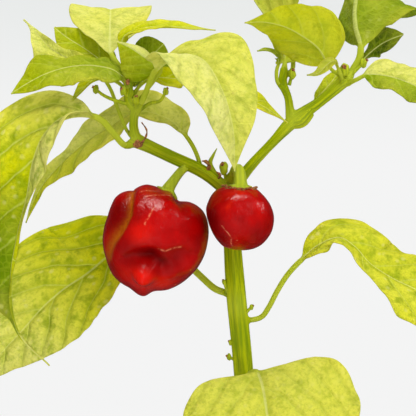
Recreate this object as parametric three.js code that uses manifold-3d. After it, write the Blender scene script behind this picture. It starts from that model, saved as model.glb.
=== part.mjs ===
// A potted chilli pepper plant with two ripe fruits: a clay pot, the soil in it, one forked green stem,
// its leaves and the fruits on their stalks. Units are millimetres and +Z is up. The origin is the middle
// of the pot's foot, and the front of the plant, where both fruits hang, faces -Y.
import * as THREE from "three";
import { mergeVertices } from "three/addons/utils/BufferGeometryUtils.js";
import Module from "manifold-3d";

const wasm = await Module();
wasm.setup();

// ---------------------------------------------------------------- driving dimensions
const GAP = 0.3; // between two pieces that touch
const POT = {
  height: 120,
  lip: 2.5,
  footRadius: 45,
  neckRadius: 61, // outside, just under the rim
  rimRadius: 70,
  rimHeight: 27,
  wall: 6,
  rimWall: 9,
  floor: 8,
  drainRadius: 5,
  drainCircle: 24, // radius of the circle that the drain holes stand on
  drains: 3,
  facets: 40,
};
const SOIL = { belowRim: 14, bump: 1.6, rings: 6 };
const BLADE = { thick: 0.8, across: 5, tipWidth: 1.1, blend: 5 };
const STALK = { radius: 1.15, flare: 1.5, flareLength: 4 };

// ---------------------------------------------------------------- the stem
// Each shoot is a list of [x, y, z, radius]. They are fused, because they grew as one piece.
const SHOOTS = {
  trunk: [
    [0, 0, 66, 4.3], [0, 0, 106, 4.3], [-1, 0, 150, 3.9], [-2.5, 0, 186, 3.6],
    [-5.5, 0, 218, 3.6], [-7, 0, 240, 3.2], [-8, 0, 257, 3.5],
  ],
  leftBranch: [
    [-7, 0, 254, 2.6], [-17, -2, 262, 2.5], [-30.5, -4, 268.5, 2.35], [-38, -5, 272, 2.4],
    [-43.5, -5, 274.5, 2.8],
  ],
  leftShoot: [[-42.5, -5, 273, 2.3], [-44, -5, 278.5, 1.8], [-44, -5, 283, 1.7], [-43, -5, 286.5, 1.9]],
  leftTop: [[-43, -5, 285.5, 1.6], [-46, -4, 289, 1.6], [-46, -2, 293, 1.5], [-45.5, 0, 299, 1.5]],
  rightBranch: [
    [-9, 0, 253, 2.6], [-1.5, 1, 265.5, 2.3], [7.5, 2, 275, 2.2], [16.5, 3, 283, 2.9], [26, 4, 290, 2.4],
    [37, 5, 298.5, 2.7],
  ],
  rightShoot: [[15.5, 3, 282, 2], [14.5, 3, 291, 1.5], [12.5, 3, 296.5, 1.7], [13, 3, 302.5, 1.5]],
};
const SHOOT_SIDES = 9;
const SHOOT_STEP = 7; // mm between the rings of a shoot

// Small buds and stubs that stand on the stem: a thin stalk along its points, and a bud at its end.
const BUDS = [
  { stalk: [[-45.5, -4, 288], [-51, -6, 289.5], [-55.5, -8, 291.5], [-58, -9, 293.5]], bud: 1.4 },
  { stalk: [[-46, -3, 290], [-48, -7, 293]], bud: 1.5 },
  { stalk: [[-43, -5, 285], [-43, -8, 289.5]], bud: 1.6 },
  { stalk: [[-43, -3, 285], [-38, -3.5, 288.5], [-34, -4, 289.5], [-32, -4, 293]], bud: 1.3 },
  { stalk: [[15, 3, 296], [16, 1, 300]], bud: 1.7 },
  { stalk: [[37, 5, 298], [36, 1, 301.5]], bud: 2.2 },
  { stalk: [[37, 5, 298], [43.5, 5, 304.5]], bud: 1.6 },
  { stalk: [[-9, 0, 259], [-10, -3, 264]], bud: 2 },
  { stalk: [[-13, -1, 260], [-15, -1, 266], [-12.5, -2, 271.5]], bud: 0.7 },
  { stalk: [[-8.5, -1, 217], [-10, -2, 221]], bud: 0.9 },
  { stalk: [[-3, -1, 208], [0.5, -2, 211.5]], bud: 0.9 },
  { stalk: [[-4, 0, 195], [-7.5, -1, 198]], bud: 0.9 },
  { stalk: [[-3.5, 0, 190.5], [-8, -1, 192.5]], bud: 1.1 },
  { stalk: [[-1, 0, 136], [4, -1, 139.5]], bud: 1.2 },
];
const BUD_STALK_RADIUS = 0.6;

// ---------------------------------------------------------------- the leaves
// path    the leaf's line, from the middle of the stem along its stalk and its rib to its tip
// stalk   length of the bare stalk, before the blade starts
// halves  greatest width of the blade's left and right half, seen from its base with its upper side up
// broad   where along the blade that is, from 0 to 1, and tail how drawn out its tip is
// face    where the blade's upper side looks, at its base and at its tip
// lift    degrees that its left and its right half are raised from flat at its base, and tipLift at its tip
// curl    degrees that each half turns further between rib and edge, up if more than 0
// wave    height of the waves along its edges, and waves how many there are
const LEAVES = {
  leaf_left_front: {
    path: [
      [-43.5, -6, 274], [-47, -8, 272.5], [-51, -10, 276.5], [-56, -12, 282], [-62, -14, 284],
      [-70, -17, 282.5], [-76.5, -20, 276], [-80.5, -21, 266], [-82.5, -22, 254], [-86.5, -21, 238],
      [-89, -19, 221], [-86.5, -16, 203], [-75, -12, 190],
    ],
    stalk: 21, halves: [13, 25], broad: 0.27, tail: 1.3, face: [[0, -0.4, 0.9], [-0.7, -0.7, 0]],
    lift: [22, 20], curl: 5, wave: 1.2, waves: 3,
  },
  leaf_left_rear: {
    path: [
      [-19, -1, 263], [-19.5, 1, 267], [-22, 5, 273], [-26, 9, 278.5], [-32.5, 14, 284],
      [-43.5, 17, 286.5], [-54, 18, 281], [-64.5, 18, 274], [-74, 18, 265.5], [-82.5, 18, 254.5],
      [-87, 18, 243],
    ],
    stalk: 17, halves: [13, 13], broad: 0.35, tail: 1.2, face: [[0, -0.55, 0.83], [-0.6, -0.45, 0.6]],
    lift: [5, 20], curl: -8, wave: 1, waves: 4,
  },
  leaf_left_low: {
    path: [
      [-6, 0, 216], [-13, 4, 218], [-18.5, 8, 222.5], [-27, 13, 230], [-36.5, 16.5, 234],
      [-45.5, 17.5, 234.5], [-53, 17.5, 231.5], [-63, 15, 223.5], [-72, 13, 217.5], [-80, 11, 210.5],
      [-87, 9, 202.5], [-96, 6, 192.5], [-104, 2, 181],
    ],
    stalk: 47, halves: [20, 29], broad: 0.36, tail: 1.05,
    face: [[-0.3, -0.75, 0.6], [-0.4, -0.85, 0.3]], lift: [8, 8], curl: -12, wave: 1, waves: 3,
  },
  leaf_left_top: {
    path: [
      [-45.5, -0.5, 297], [-49.5, 0, 302.5], [-53, 4, 308], [-54, 14, 315.5], [-54.5, 26, 323.5],
      [-55, 38, 328.5], [-55.5, 50, 329], [-56, 60, 326],
    ],
    stalk: 13, halves: [16.5, 16.5], broad: 0.55, tail: 1, face: [[0, -0.85, 0.5], [0, 0.1, 1]],
    lift: [0, 0], curl: 10, wave: 0.8, waves: 2,
  },
  leaf_left_high: {
    path: [
      [-44.9, 1.2, 298.4], [-45, 4, 303], [-48.5, 4, 309.5], [-48, 4, 314.5], [-43.5, 4, 317],
      [-37, 4, 318.3], [-25, 4, 318], [-13, 3, 316.8],
    ],
    stalk: 14, halves: [8, 8], broad: 0.4, tail: 1.3, face: [[-0.2, -0.5, 0.85], [0, -0.5, 0.85]],
    lift: [0, 20], curl: 0, wave: 0.4, waves: 2,
  },
  leaf_left_near: {
    path: [
      [-43, -5, 285.5], [-40, -9, 290.5], [-38, -11, 295.5], [-35, -14, 301], [-27, -22, 305.2],
      [-18, -32, 303], [-10.5, -40, 290.5], [-7, -42, 277], [-6.5, -40, 262],
    ],
    stalk: 18, halves: [13, 20], broad: 0.38, tail: 1.15, face: [[0, -0.4, 0.9], [0.5, -0.85, 0.1]],
    lift: [20, 15], curl: 0, wave: 1, waves: 3,
  },
  leaf_left_fold: {
    path: [
      [-43, -3.5, 288], [-39.5, -4, 293], [-36, -5, 297.5], [-33.5, -6.5, 301.5], [-37.8, -8, 304.5],
      [-41.5, -8.5, 307], [-45.3, -9, 309.4], [-50, -9, 311.3],
    ],
    stalk: 17, halves: [7, 7], broad: 0.45, tail: 1, face: [[0.1, -0.7, 0.7], [0, -0.6, 0.8]],
    lift: [0, 0], curl: -15, wave: 0.3, waves: 2,
  },
  leaf_left_side: {
    path: [
      [-45.8, -1.5, 293.5], [-48.5, -5.5, 298.5], [-52, -9, 301], [-57.5, -12, 302], [-63, -15, 302],
      [-69, -17, 301], [-76, -20, 298.5], [-81.5, -21, 295.5], [-88.6, -21, 291],
    ],
    stalk: 5, halves: [12, 12], broad: 0.42, tail: 1, face: [[-0.1, -0.7, 0.7], [-0.3, -0.75, 0.6]],
    lift: [0, 5], curl: 0, wave: 0.9, waves: 3,
  },
  leaf_left_back: {
    path: [
      [-43.5, -4, 275], [-46.5, -2, 278], [-50, 0, 286], [-53.5, 1, 295], [-59, 3, 302], [-65, 4, 305],
      [-71, 5, 307], [-76, 6, 310], [-80, 7, 314], [-83, 8, 317.8], [-87, 9, 321.5],
    ],
    stalk: 29, halves: [14, 8], broad: 0.36, tail: 1.5, face: [[-0.1, -0.75, 0.65], [-0.4, -0.8, 0.4]],
    lift: [10, 10], curl: 0, wave: 0.8, waves: 3,
  },
  leaf_left_dark: {
    path: [
      [-46, 1, 294.5], [-49.5, 7, 299], [-56, 13, 305], [-64, 16, 311], [-71, 18, 315.5],
      [-76, 19, 319.5],
    ],
    stalk: 11, halves: [8, 6], broad: 0.5, tail: 1, face: [[-0.4, -0.6, 0.7], [-0.5, -0.6, 0.6]],
    lift: [10, 10], curl: 0, wave: 0.6, waves: 2,
  },
  leaf_left_young: {
    path: [
      [-46, -2, 292.5], [-50, -1.5, 296.5], [-55, -2.5, 298.3], [-59.5, -5, 297], [-63, -9, 293.3],
      [-66.5, -13, 289],
    ],
    stalk: 10, halves: [3.5, 3.5], broad: 0.4, tail: 0.9, face: [[-0.3, -0.5, 0.8], [-0.6, -0.7, 0.3]],
    lift: [20, 20], curl: 0, wave: 0.2, waves: 2,
  },
  leaf_left_round: {
    path: [
      [-44.2, 0.5, 295.9], [-40.6, 4.2, 301], [-40, 7.5, 306.5], [-38, 9, 310.5], [-34, 10, 314.2],
    ],
    stalk: 8, halves: [6.5, 6.5], broad: 0.6, tail: 0.7, face: [[0.2, 0.8, 0.5], [0.3, 0.8, 0.5]],
    lift: [5, 5], curl: 0, wave: 0.4, waves: 2,
  },
  leaf_left_reach: {
    path: [
      [-44.8, -1.5, 291], [-41.5, 1, 296], [-37, 2, 298.5], [-31.5, 2, 298.5], [-23, 2, 297.5],
      [-13.5, -2, 295], [-4, -6, 291.5], [4.3, -8, 287.3], [14, -10, 280.8],
    ],
    stalk: 7, halves: [9, 11], broad: 0.4, tail: 1.2, face: [[0.1, -0.5, 0.85], [0.6, -0.5, 0.6]],
    lift: [10, 10], curl: 0, wave: 0.7, waves: 3,
  },
  leaf_right_tip: {
    path: [
      [36.5, 5.5, 298.5], [33.8, 3.5, 300], [31.2, 1, 301.5], [29, -2, 304.2], [25.5, -6, 309.5],
      [19.5, -10, 313.7], [12.5, -13, 317], [4, -16, 318.3], [-2.5, -18, 317.5],
    ],
    stalk: 9, halves: [8, 14], broad: 0.42, tail: 1.15, face: [[-0.2, 0.6, 0.75], [-0.1, 0.5, 0.85]],
    lift: [10, 10], curl: 0, wave: 0.8, waves: 3,
  },
  leaf_right_veil: {
    path: [
      [13, 3, 301.5], [13.5, 6, 305.5], [13.5, 8, 310], [12, 9, 312.7], [9.2, 10, 316.3],
      [4, 12, 321.3],
    ],
    stalk: 4, halves: [19, 9], broad: 0.35, tail: 1.15, face: [[0.1, 0.97, -0.1], [0.2, 0.95, 0.1]],
    lift: [5, 60], curl: 0, wave: 0.5, waves: 2,
  },
  leaf_right_crown: {
    path: [
      [13, 3, 299.5], [16.5, 8, 302.5], [15.5, 13.5, 311], [9, 17, 319.5], [6, 19, 325.3],
      [3.2, 22, 329.6], [0.5, 26, 334.5], [-2.5, 31, 340],
    ],
    stalk: 25, halves: [17, 11], broad: 0.4, tail: 1.15, face: [[0.1, 0.8, 0.6], [0, 0.7, 0.7]],
    lift: [8, 45], curl: 0, wave: 0.7, waves: 2,
  },
  leaf_right_tall: {
    path: [
      [37, 5.5, 297.5], [39.5, 6, 302], [42, 6, 306.5], [42.5, 6.5, 311.5], [41, 8, 318], [41, 12, 326],
      [44, 18, 337], [51, 25, 346], [62, 32, 350], [73, 38, 346],
    ],
    stalk: 14, halves: [24, 20], broad: 0.42, tail: 1.15, face: [[0.1, 0.95, -0.2], [0.3, 0.5, 0.8]],
    lift: [8, 60], curl: 0, wave: 1.2, waves: 3,
  },
  leaf_right_dark: {
    path: [
      [35.5, 6, 296], [38.5, 11.5, 300], [44.5, 15.5, 307.5], [51, 18, 313], [55.5, 20, 315.3],
      [60.5, 21, 317],
    ],
    stalk: 13, halves: [6.5, 6.5], broad: 0.5, tail: 0.9, face: [[-0.3, 0.7, 0.65], [-0.2, 0.7, 0.65]],
    lift: [5, 5], curl: 0, wave: 0.5, waves: 2,
  },
  leaf_right_side: {
    path: [
      [37, 3.5, 296.5], [40.5, 0.5, 297.8], [44, -1.5, 299.5], [49, -5, 299.3], [54.5, -9, 297.8],
      [61.6, -13, 294.5], [68, -17, 290], [75, -20, 285], [81, -22, 279],
    ],
    stalk: 7, halves: [13, 13], broad: 0.42, tail: 1.1, face: [[0.1, -0.3, 0.95], [0.4, -0.4, 0.8]],
    lift: [35, 10], curl: -5, wave: 0.8, waves: 3,
  },
  leaf_right_behind: {
    path: [
      [15.5, 3, 282.5], [18, 7, 284.5], [21.3, 10, 287.1], [25, 12.5, 290], [28.2, 14, 293.6],
      [31.4, 16, 297.2], [34.3, 18, 300.8], [37.6, 20, 305],
    ],
    stalk: 15, halves: [6, 6], broad: 0.5, tail: 1, face: [[-0.3, -0.6, 0.7], [-0.3, -0.6, 0.7]],
    lift: [5, 5], curl: 0, wave: 0.4, waves: 2,
  },
  leaf_right_hook: {
    path: [
      [35.5, 3.5, 296.5], [34, -3, 300], [31.5, -6, 304.3], [28.5, -7.5, 302.5], [26.5, -8.5, 300.3],
      [24.3, -9, 299], [21, -9.5, 298.8],
    ],
    stalk: 9, halves: [2.6, 2.6], broad: 0.45, tail: 1, face: [[0.3, -0.5, 0.8], [0, -0.6, 0.8]],
    lift: [15, 15], curl: 0, wave: 0, waves: 1,
  },
  leaf_right_small: {
    path: [
      [14, 3, 293], [10.5, 0, 296.5], [10, -1, 301], [11, -2, 305.5], [8.5, -4, 308], [5.5, -6, 308.5],
      [2.5, -7, 308],
    ],
    stalk: 12, halves: [2.4, 2.4], broad: 0.4, tail: 1, face: [[-0.6, -0.5, 0.6], [0, -0.5, 0.85]],
    lift: [15, 15], curl: 0, wave: 0, waves: 1,
  },
  leaf_right_low: {
    path: [
      [-4, 0, 206], [4, -1, 207.5], [7, -3, 211.5], [10, -5, 217.5], [14, -7, 224], [19.5, -9, 230],
      [26, -11, 235.5], [33, -13, 238], [38.7, -15, 234.5], [44, -17, 228.5], [52.4, -19, 223],
      [60.7, -21, 219], [70, -22, 213], [77.5, -22, 205], [83, -22, 195],
    ],
    stalk: 36, halves: [14, 18], broad: 0.45, tail: 1, face: [[0.1, -0.65, 0.75], [0.5, -0.65, 0.5]],
    lift: [8, 60], tipLift: [5, -15], curl: -5, wave: 1.1, waves: 4,
  },
  leaf_front_low: {
    path: [
      [-2.5, 0, 176], [-2, -8, 182], [-0.5, -16, 187], [2, -24, 188.5], [3.5, -31, 185.5],
      [5, -40, 176.5], [6, -51, 163], [7, -65, 148], [8, -80, 136],
    ],
    stalk: 28, halves: [35, 30], broad: 0.34, tail: 1, face: [[0.05, -0.5, 0.85], [0, -0.7, 0.7]],
    lift: [20, 2], tipLift: [5, 2], curl: -5, wave: 1.6, waves: 3,
  },
  leaf_low_rear: {
    path: [
      [-1, 0, 152], [2, 8, 157], [6, 18, 160], [10, 30, 158], [14, 45, 151], [18, 62, 141],
      [22, 80, 128],
    ],
    stalk: 24, halves: [19, 19], broad: 0.38, tail: 1.15, face: [[0, 0.1, 1], [0, 0.3, 0.9]],
    lift: [8, 8], curl: -8, wave: 1.1, waves: 3,
  },
  leaf_low_right: {
    path: [
      [-1, 0, 146], [8, 2, 151], [18, 4, 155], [30, 6, 154], [46, 8, 147], [63, 9, 137], [80, 8, 122],
    ],
    stalk: 26, halves: [18, 18], broad: 0.38, tail: 1.15, face: [[0.1, 0, 1], [0.4, 0, 0.9]],
    lift: [8, 8], curl: -8, wave: 1.1, waves: 3,
  },
  leaf_low_left: {
    path: [
      [0, 0, 136], [-8, -4, 142], [-18, -8, 147], [-30, -13, 148], [-45, -18, 143], [-62, -23, 135],
      [-79, -28, 124],
    ],
    stalk: 26, halves: [18, 18], broad: 0.38, tail: 1.15, face: [[-0.1, 0, 1], [-0.4, 0, 0.9]],
    lift: [8, 8], curl: -8, wave: 1.1, waves: 3,
  },
};

// ---------------------------------------------------------------- the fruits
// A fruit is a ball with its own half sizes, raised and sunk by bumps and creases. A bump is round:
// [azimuth, elevation, height, spread]. A crease follows the directions in along, each
// [azimuth, elevation], and is sunk by depth, over spread. Angles are degrees: azimuth 0 is the front
// (-Y) and 90 the right (+X). Heights are shares of the fruit's radius.
const FRUITS = {
  fruit_large: {
    centre: [-35.7, -10, 238],
    half: [18.6, 17.5, 18.6],
    facets: [30, 20],
    bumps: [
      [-60, 52, 0.1, 32], [12, 50, 0.11, 34], [82, 38, 0.1, 30], [165, 45, 0.1, 34],
      [-40, -72, 0.16, 15], [5, -48, 0.08, 30], [60, -35, 0.06, 24], [180, -40, 0.07, 40],
      [-95, -5, 0.06, 35],
      [12, 80, -0.16, 20],
    ],
    creases: [
      { along: [[-42, 68], [-42, 35], [-50, 5], [-62, -18]], depth: 0.15, spread: 10 },
      { along: [[48, 66], [52, 40], [50, 20]], depth: 0.12, spread: 10 },
      { along: [[-38, -14], [-5, -20], [22, -22], [46, -16]], depth: 0.17, spread: 11 },
      { along: [[120, 66], [125, 30], [122, -10]], depth: 0.12, spread: 12 },
      { along: [[-130, 66], [-132, 30], [-135, -20]], depth: 0.12, spread: 12 },
    ],
  },
  fruit_small: {
    centre: [-4, -18, 245.5],
    half: [12.8, 12.6, 12],
    facets: [24, 16],
    bumps: [[0, 88, -0.12, 26], [-40, -20, 0.02, 40], [120, 20, 0.03, 40], [-140, 10, 0.03, 40]],
    creases: [],
  },
};
// The green stalk of each fruit, from inside the stem to the cap that sits on the fruit: [x, y, z, radius].
const FRUIT_STALKS = {
  stalk_fruit_large: {
    fruit: "fruit_large",
    line: [
      [-22.5, -3, 265.5, 1.5], [-25.5, -5, 263.5, 1.6], [-29, -8, 259, 1.9], [-31, -10, 255.5, 3.2],
      [-31.5, -10.5, 252, 4.4],
    ],
  },
  stalk_fruit_small: {
    fruit: "fruit_small",
    line: [
      [-7, -1, 260, 1.8], [-5.5, -6, 263.5, 1.9], [-4.3, -12, 262.5, 2.2], [-4, -17, 258.5, 3.6],
      [-4, -18, 255, 5],
    ],
  },
};

// ---------------------------------------------------------------- colours of each material
const MATERIALS = {
  clay: new THREE.MeshStandardMaterial({ color: 0xb4663f, roughness: 0.85, metalness: 0 }),
  soil: new THREE.MeshStandardMaterial({ color: 0x3a2a1e, roughness: 1, metalness: 0 }),
  stem: new THREE.MeshStandardMaterial({ color: 0x9aab1e, roughness: 0.5, metalness: 0 }),
  leaf: new THREE.MeshStandardMaterial({ color: 0xc3cf2e, roughness: 0.5, metalness: 0 }),
  fruit: new THREE.MeshStandardMaterial({ color: 0xd01408, roughness: 0.2, metalness: 0 }),
};

// ---------------------------------------------------------------- helpers
const vector = (p) => new THREE.Vector3(p[0], p[1], p[2]);
const degrees = THREE.MathUtils.degToRad;
const smooth = (t) => THREE.MathUtils.smoothstep(t, 0, 1);

// A closed solid from points and triangles.
function solidOf(points, triangles) {
  const geometry = new THREE.BufferGeometry();
  const places = points.flatMap((p) => [p.x, p.y, p.z]);
  geometry.setAttribute("position", new THREE.Float32BufferAttribute(places, 3));
  geometry.setIndex(triangles.flat());
  return solidOfGeometry(geometry);
}

// A closed solid from a three.js geometry, without the triangles that merging its vertices leaves flat.
function solidOfGeometry(geometry) {
  const bare = geometry.clone();
  bare.deleteAttribute("normal");
  bare.deleteAttribute("uv");
  const merged = mergeVertices(bare, 1e-4);
  const triangles = [];
  for (let i = 0; i < merged.index.count; i += 3) {
    const [a, b, c] = [0, 1, 2].map((k) => merged.index.getX(i + k));
    if (a !== b && b !== c && c !== a) triangles.push(a, b, c);
  }
  return new wasm.Manifold(
    new wasm.Mesh({
      numProp: 3,
      vertProperties: Float32Array.from(merged.attributes.position.array),
      triVerts: Uint32Array.from(triangles),
    }),
  );
}

// The largest body of a solid, as a three.js geometry.
function geometryOf(solid) {
  const bodies = solid.decompose().sort((a, b) => b.volume() - a.volume());
  const mesh = bodies[0].getMesh();
  const geometry = new THREE.BufferGeometry();
  geometry.setAttribute("position", new THREE.Float32BufferAttribute(mesh.vertProperties, 3));
  geometry.setIndex(new THREE.Uint32BufferAttribute(mesh.triVerts, 1));
  return geometry.toNonIndexed();
}

// Skins a row of rings, each with the same number of points, and closes both ends with a fan.
function skin(rings) {
  const around = rings[0].length;
  const points = rings.flat();
  const triangles = [];
  for (let j = 0; j + 1 < rings.length; j++) {
    for (let i = 0; i < around; i++) {
      const [a, b] = [j * around + i, j * around + ((i + 1) % around)];
      triangles.push([a, b, b + around], [a, b + around, a + around]);
    }
  }
  for (const [start, first] of [[0, true], [(rings.length - 1) * around, false]]) {
    const ring = rings[start / around];
    const middle = ring.reduce((sum, p) => sum.add(p), new THREE.Vector3()).divideScalar(around);
    points.push(middle);
    for (let i = 0; i < around; i++) {
      const [a, b] = [start + i, start + ((i + 1) % around)];
      triangles.push(first ? [points.length - 1, b, a] : [points.length - 1, a, b]);
    }
  }
  const solid = solidOf(points, triangles);
  return solid.volume() > 0 ? solid : solidOf(points, triangles.map(([a, b, c]) => [a, c, b]));
}

// A round rod along [x, y, z, radius] points, made thicker all over by grow.
function rod(line, sides, step, grow = 0) {
  const curve = new THREE.CatmullRomCurve3(line.map(vector));
  const count = Math.max(2, Math.round(curve.getLength() / step));
  const radii = line.map((p) => p[3] + grow);
  let side = new THREE.Vector3(0, 1, 0);
  const rings = [];
  for (let j = 0; j <= count; j++) {
    const t = j / count;
    const along = curve.getTangent(t);
    side = side.clone().addScaledVector(along, -side.dot(along)).normalize();
    const across = along.clone().cross(side);
    const [k, rest] = [Math.floor(t * (line.length - 1)), (t * (line.length - 1)) % 1];
    const radius = THREE.MathUtils.lerp(radii[k], radii[Math.min(k + 1, line.length - 1)], smooth(rest));
    const middle = curve.getPoint(t);
    const shift = j === 0 ? -grow : j === count ? grow : 0;
    middle.addScaledVector(along, shift);
    rings.push(
      Array.from({ length: sides }, (_, i) => {
        const angle = (2 * Math.PI * i) / sides;
        const out = side.clone().multiplyScalar(Math.cos(angle)).addScaledVector(across, Math.sin(angle));
        return out.multiplyScalar(radius).add(middle);
      }),
    );
  }
  return skin(rings);
}

// ---------------------------------------------------------------- pot and soil
function turned(profile, facets) {
  const lathe = new THREE.LatheGeometry(profile.map(([r, z]) => new THREE.Vector2(r, z)), facets);
  lathe.rotateX(Math.PI / 2); // the lathe turns about Y, and the pot stands along Z
  return solidOfGeometry(lathe);
}

// The pot's inside radius at a height. It widens at a ledge just under the rim.
function potInside(z) {
  const { height, rimHeight, lip, footRadius, neckRadius, rimRadius, wall, rimWall } = POT;
  const neck = height - rimHeight;
  if (z <= neck) return THREE.MathUtils.lerp(footRadius, neckRadius, z / neck) - wall;
  return THREE.MathUtils.lerp(neckRadius - wall, rimRadius - rimWall, (z - neck) / (height - lip - neck));
}

function potSolid() {
  const { height, lip, footRadius, neckRadius, rimRadius, rimHeight, rimWall, floor } = POT;
  const [neck, chamfer] = [height - rimHeight, 1.5];
  let pot = turned(
    [
      [0, 0], [footRadius - chamfer, 0], [footRadius, chamfer], [neckRadius, neck],
      [rimRadius - 2, neck + 1], [rimRadius - 1, neck + 3],
      [rimRadius, height - lip], [rimRadius - lip, height], [rimRadius - rimWall + lip, height],
      [rimRadius - rimWall, height - lip], [potInside(neck), neck], [potInside(floor), floor], [0, floor],
    ],
    POT.facets,
  );
  for (let i = 0; i < POT.drains; i++) {
    const angle = (2 * Math.PI * i) / POT.drains;
    const hole = new THREE.CylinderGeometry(POT.drainRadius, POT.drainRadius, 4 * floor, 16);
    hole.rotateX(Math.PI / 2);
    hole.translate(POT.drainCircle * Math.cos(angle), POT.drainCircle * Math.sin(angle), 0);
    pot = pot.subtract(solidOfGeometry(hole));
  }
  return pot;
}

// The soil fills the pot to a little under its rim. Its top is uneven.
function soilSolid(stem) {
  const top = POT.height - SOIL.belowRim;
  const neck = POT.height - POT.rimHeight;
  const shoulder = top - 2;
  const rim = potInside(shoulder) - GAP;
  const swell = (x, y) => Math.sin(0.21 * x + 0.13 * y) * Math.cos(0.17 * y - 0.05 * x);
  const clods = (x, y) => 0.5 * Math.sin(0.45 * x - 0.38 * y + 1);
  const bump = (x, y) => SOIL.bump * (swell(x, y) + clods(x, y));
  const ring = (radius, height) =>
    Array.from({ length: POT.facets }, (_, i) => {
      const angle = (2 * Math.PI * i) / POT.facets;
      const [x, y] = [radius * Math.cos(angle), radius * Math.sin(angle)];
      return new THREE.Vector3(x, y, height(x, y));
    });
  const rings = [POT.floor + GAP, neck, shoulder].map((z) => ring(potInside(z) - GAP, () => z));
  const edge = rim - 2;
  for (let k = SOIL.rings; k > 0; k--) {
    rings.push(ring((edge * k) / SOIL.rings, (x, y) => top + bump(x, y)));
  }
  return skin(rings).subtract(stem);
}

// ---------------------------------------------------------------- stem
function stemSolid(grow) {
  const rods = Object.values(SHOOTS).map((line) => rod(line, SHOOT_SIDES, SHOOT_STEP, grow));
  for (const { stalk, bud } of BUDS) {
    const line = stalk.map((p) => [...p, BUD_STALK_RADIUS]);
    if (line.length < 3) line.splice(1, 0, line[0].map((c, i) => (c + line[line.length - 1][i]) / 2));
    rods.push(rod(line, 6, 4, grow));
    const ball = new THREE.SphereGeometry(bud + grow, 6, 5).toNonIndexed();
    ball.scale(1, 1, 1.3).translate(...stalk[stalk.length - 1]);
    rods.push(solidOfGeometry(ball));
  }
  return rods.reduce((all, one) => all.add(one));
}

// ---------------------------------------------------------------- leaves
// How wide a blade is at u, from 0 at its base to 1 at its tip, as a share of its greatest width.
function outline(u, { broad, tail }) {
  const basePower = (tail * broad) / (1 - broad);
  const shape = (t) => t ** basePower * (1 - t) ** tail;
  return shape(u) / shape(broad);
}

// The place and the upper side's lean at share q across a blade, from -1 at its left edge to 1 at its right.
function acrossBlade(leaf, q, u) {
  const hand = q < 0 ? 0 : 1;
  const half = Math.max(leaf.halves[hand] * outline(u, leaf), BLADE.tipWidth / 2);
  const lift = degrees(THREE.MathUtils.lerp(leaf.lift[hand], (leaf.tipLift ?? leaf.lift)[hand], u));
  const curl = degrees(leaf.curl) || 1e-6;
  const s = Math.abs(q);
  const angle = lift + curl * s;
  const side = (half * (Math.sin(angle) - Math.sin(lift))) / curl;
  const up = (half * (Math.cos(lift) - Math.cos(angle))) / curl;
  const phase = q < 0 ? 0 : 1.3;
  const fade = smooth(u * 6) * smooth((1 - u) * 4);
  const wave = leaf.wave * fade * s * s * Math.sin(2 * Math.PI * leaf.waves * u + phase);
  return { side: Math.sign(q) * side, up: up + wave, lean: Math.sign(q) * angle };
}

function leafSolid(leaf) {
  const curve = new THREE.CatmullRomCurve3(leaf.path.map(vector));
  const length = curve.getLength();
  const blade = length - leaf.stalk;
  const slim = THREE.MathUtils.clamp((leaf.halves[0] + leaf.halves[1]) / 36, 0.62, 1.15);
  const radius = STALK.radius * slim;
  const n = BLADE.across;
  const places = [];
  const stalkSteps = Math.max(2, Math.round(leaf.stalk / 6));
  const bladeSteps = THREE.MathUtils.clamp(Math.round(blade / 6), 6, 13);
  for (let j = 0; j < stalkSteps; j++) places.push((leaf.stalk * j) / stalkSteps);
  for (let j = 0; j <= bladeSteps; j++) {
    const share = 0.5 - 0.5 * Math.cos((Math.PI * j) / bladeSteps);
    places.push(leaf.stalk + 0.995 * blade * share);
  }
  const [faceBase, faceTip] = leaf.face.map(vector);
  const rings = places.map((place) => {
    const t = place / length;
    const middle = curve.getPointAt(t);
    const along = curve.getTangentAt(t);
    const u = THREE.MathUtils.clamp((place - leaf.stalk) / blade, 0, 1);
    const up = faceBase.clone().lerp(faceTip, u);
    up.addScaledVector(along, -up.dot(along)).normalize();
    const right = along.clone().cross(up);
    const flat = smooth((place - leaf.stalk) / BLADE.blend + 0.2);
    const flare = THREE.MathUtils.lerp(STALK.flare, 1, smooth(place / STALK.flareLength));
    const round = radius * flare * (1 - 0.5 * u);
    const rib = 1.1 * radius * (1 - u) ** 0.8;
    const point = (i, top) => {
      const q = -1 + (2 * i) / (n - 1);
      const at = acrossBlade(leaf, q, u);
      const off = (top ? 1 : -1) * (BLADE.thick / 2) - (top || q !== 0 ? 0 : rib);
      const onBlade = [at.side - Math.sin(at.lean) * off, at.up + Math.cos(at.lean) * off];
      const turn = Math.PI * (1 - (i + 0.5) / n);
      const onRod = [round * Math.cos(turn), (top ? 1 : -1) * round * Math.sin(turn)];
      const [x, z] = [0, 1].map((k) => THREE.MathUtils.lerp(onRod[k], onBlade[k], flat));
      return middle.clone().addScaledVector(right, x).addScaledVector(up, z);
    };
    const order = Array.from({ length: n }, (_, i) => i);
    return { top: order.map((i) => point(i, true)), under: order.map((i) => point(i, false)) };
  });
  return bladeSkin(rings);
}

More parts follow.
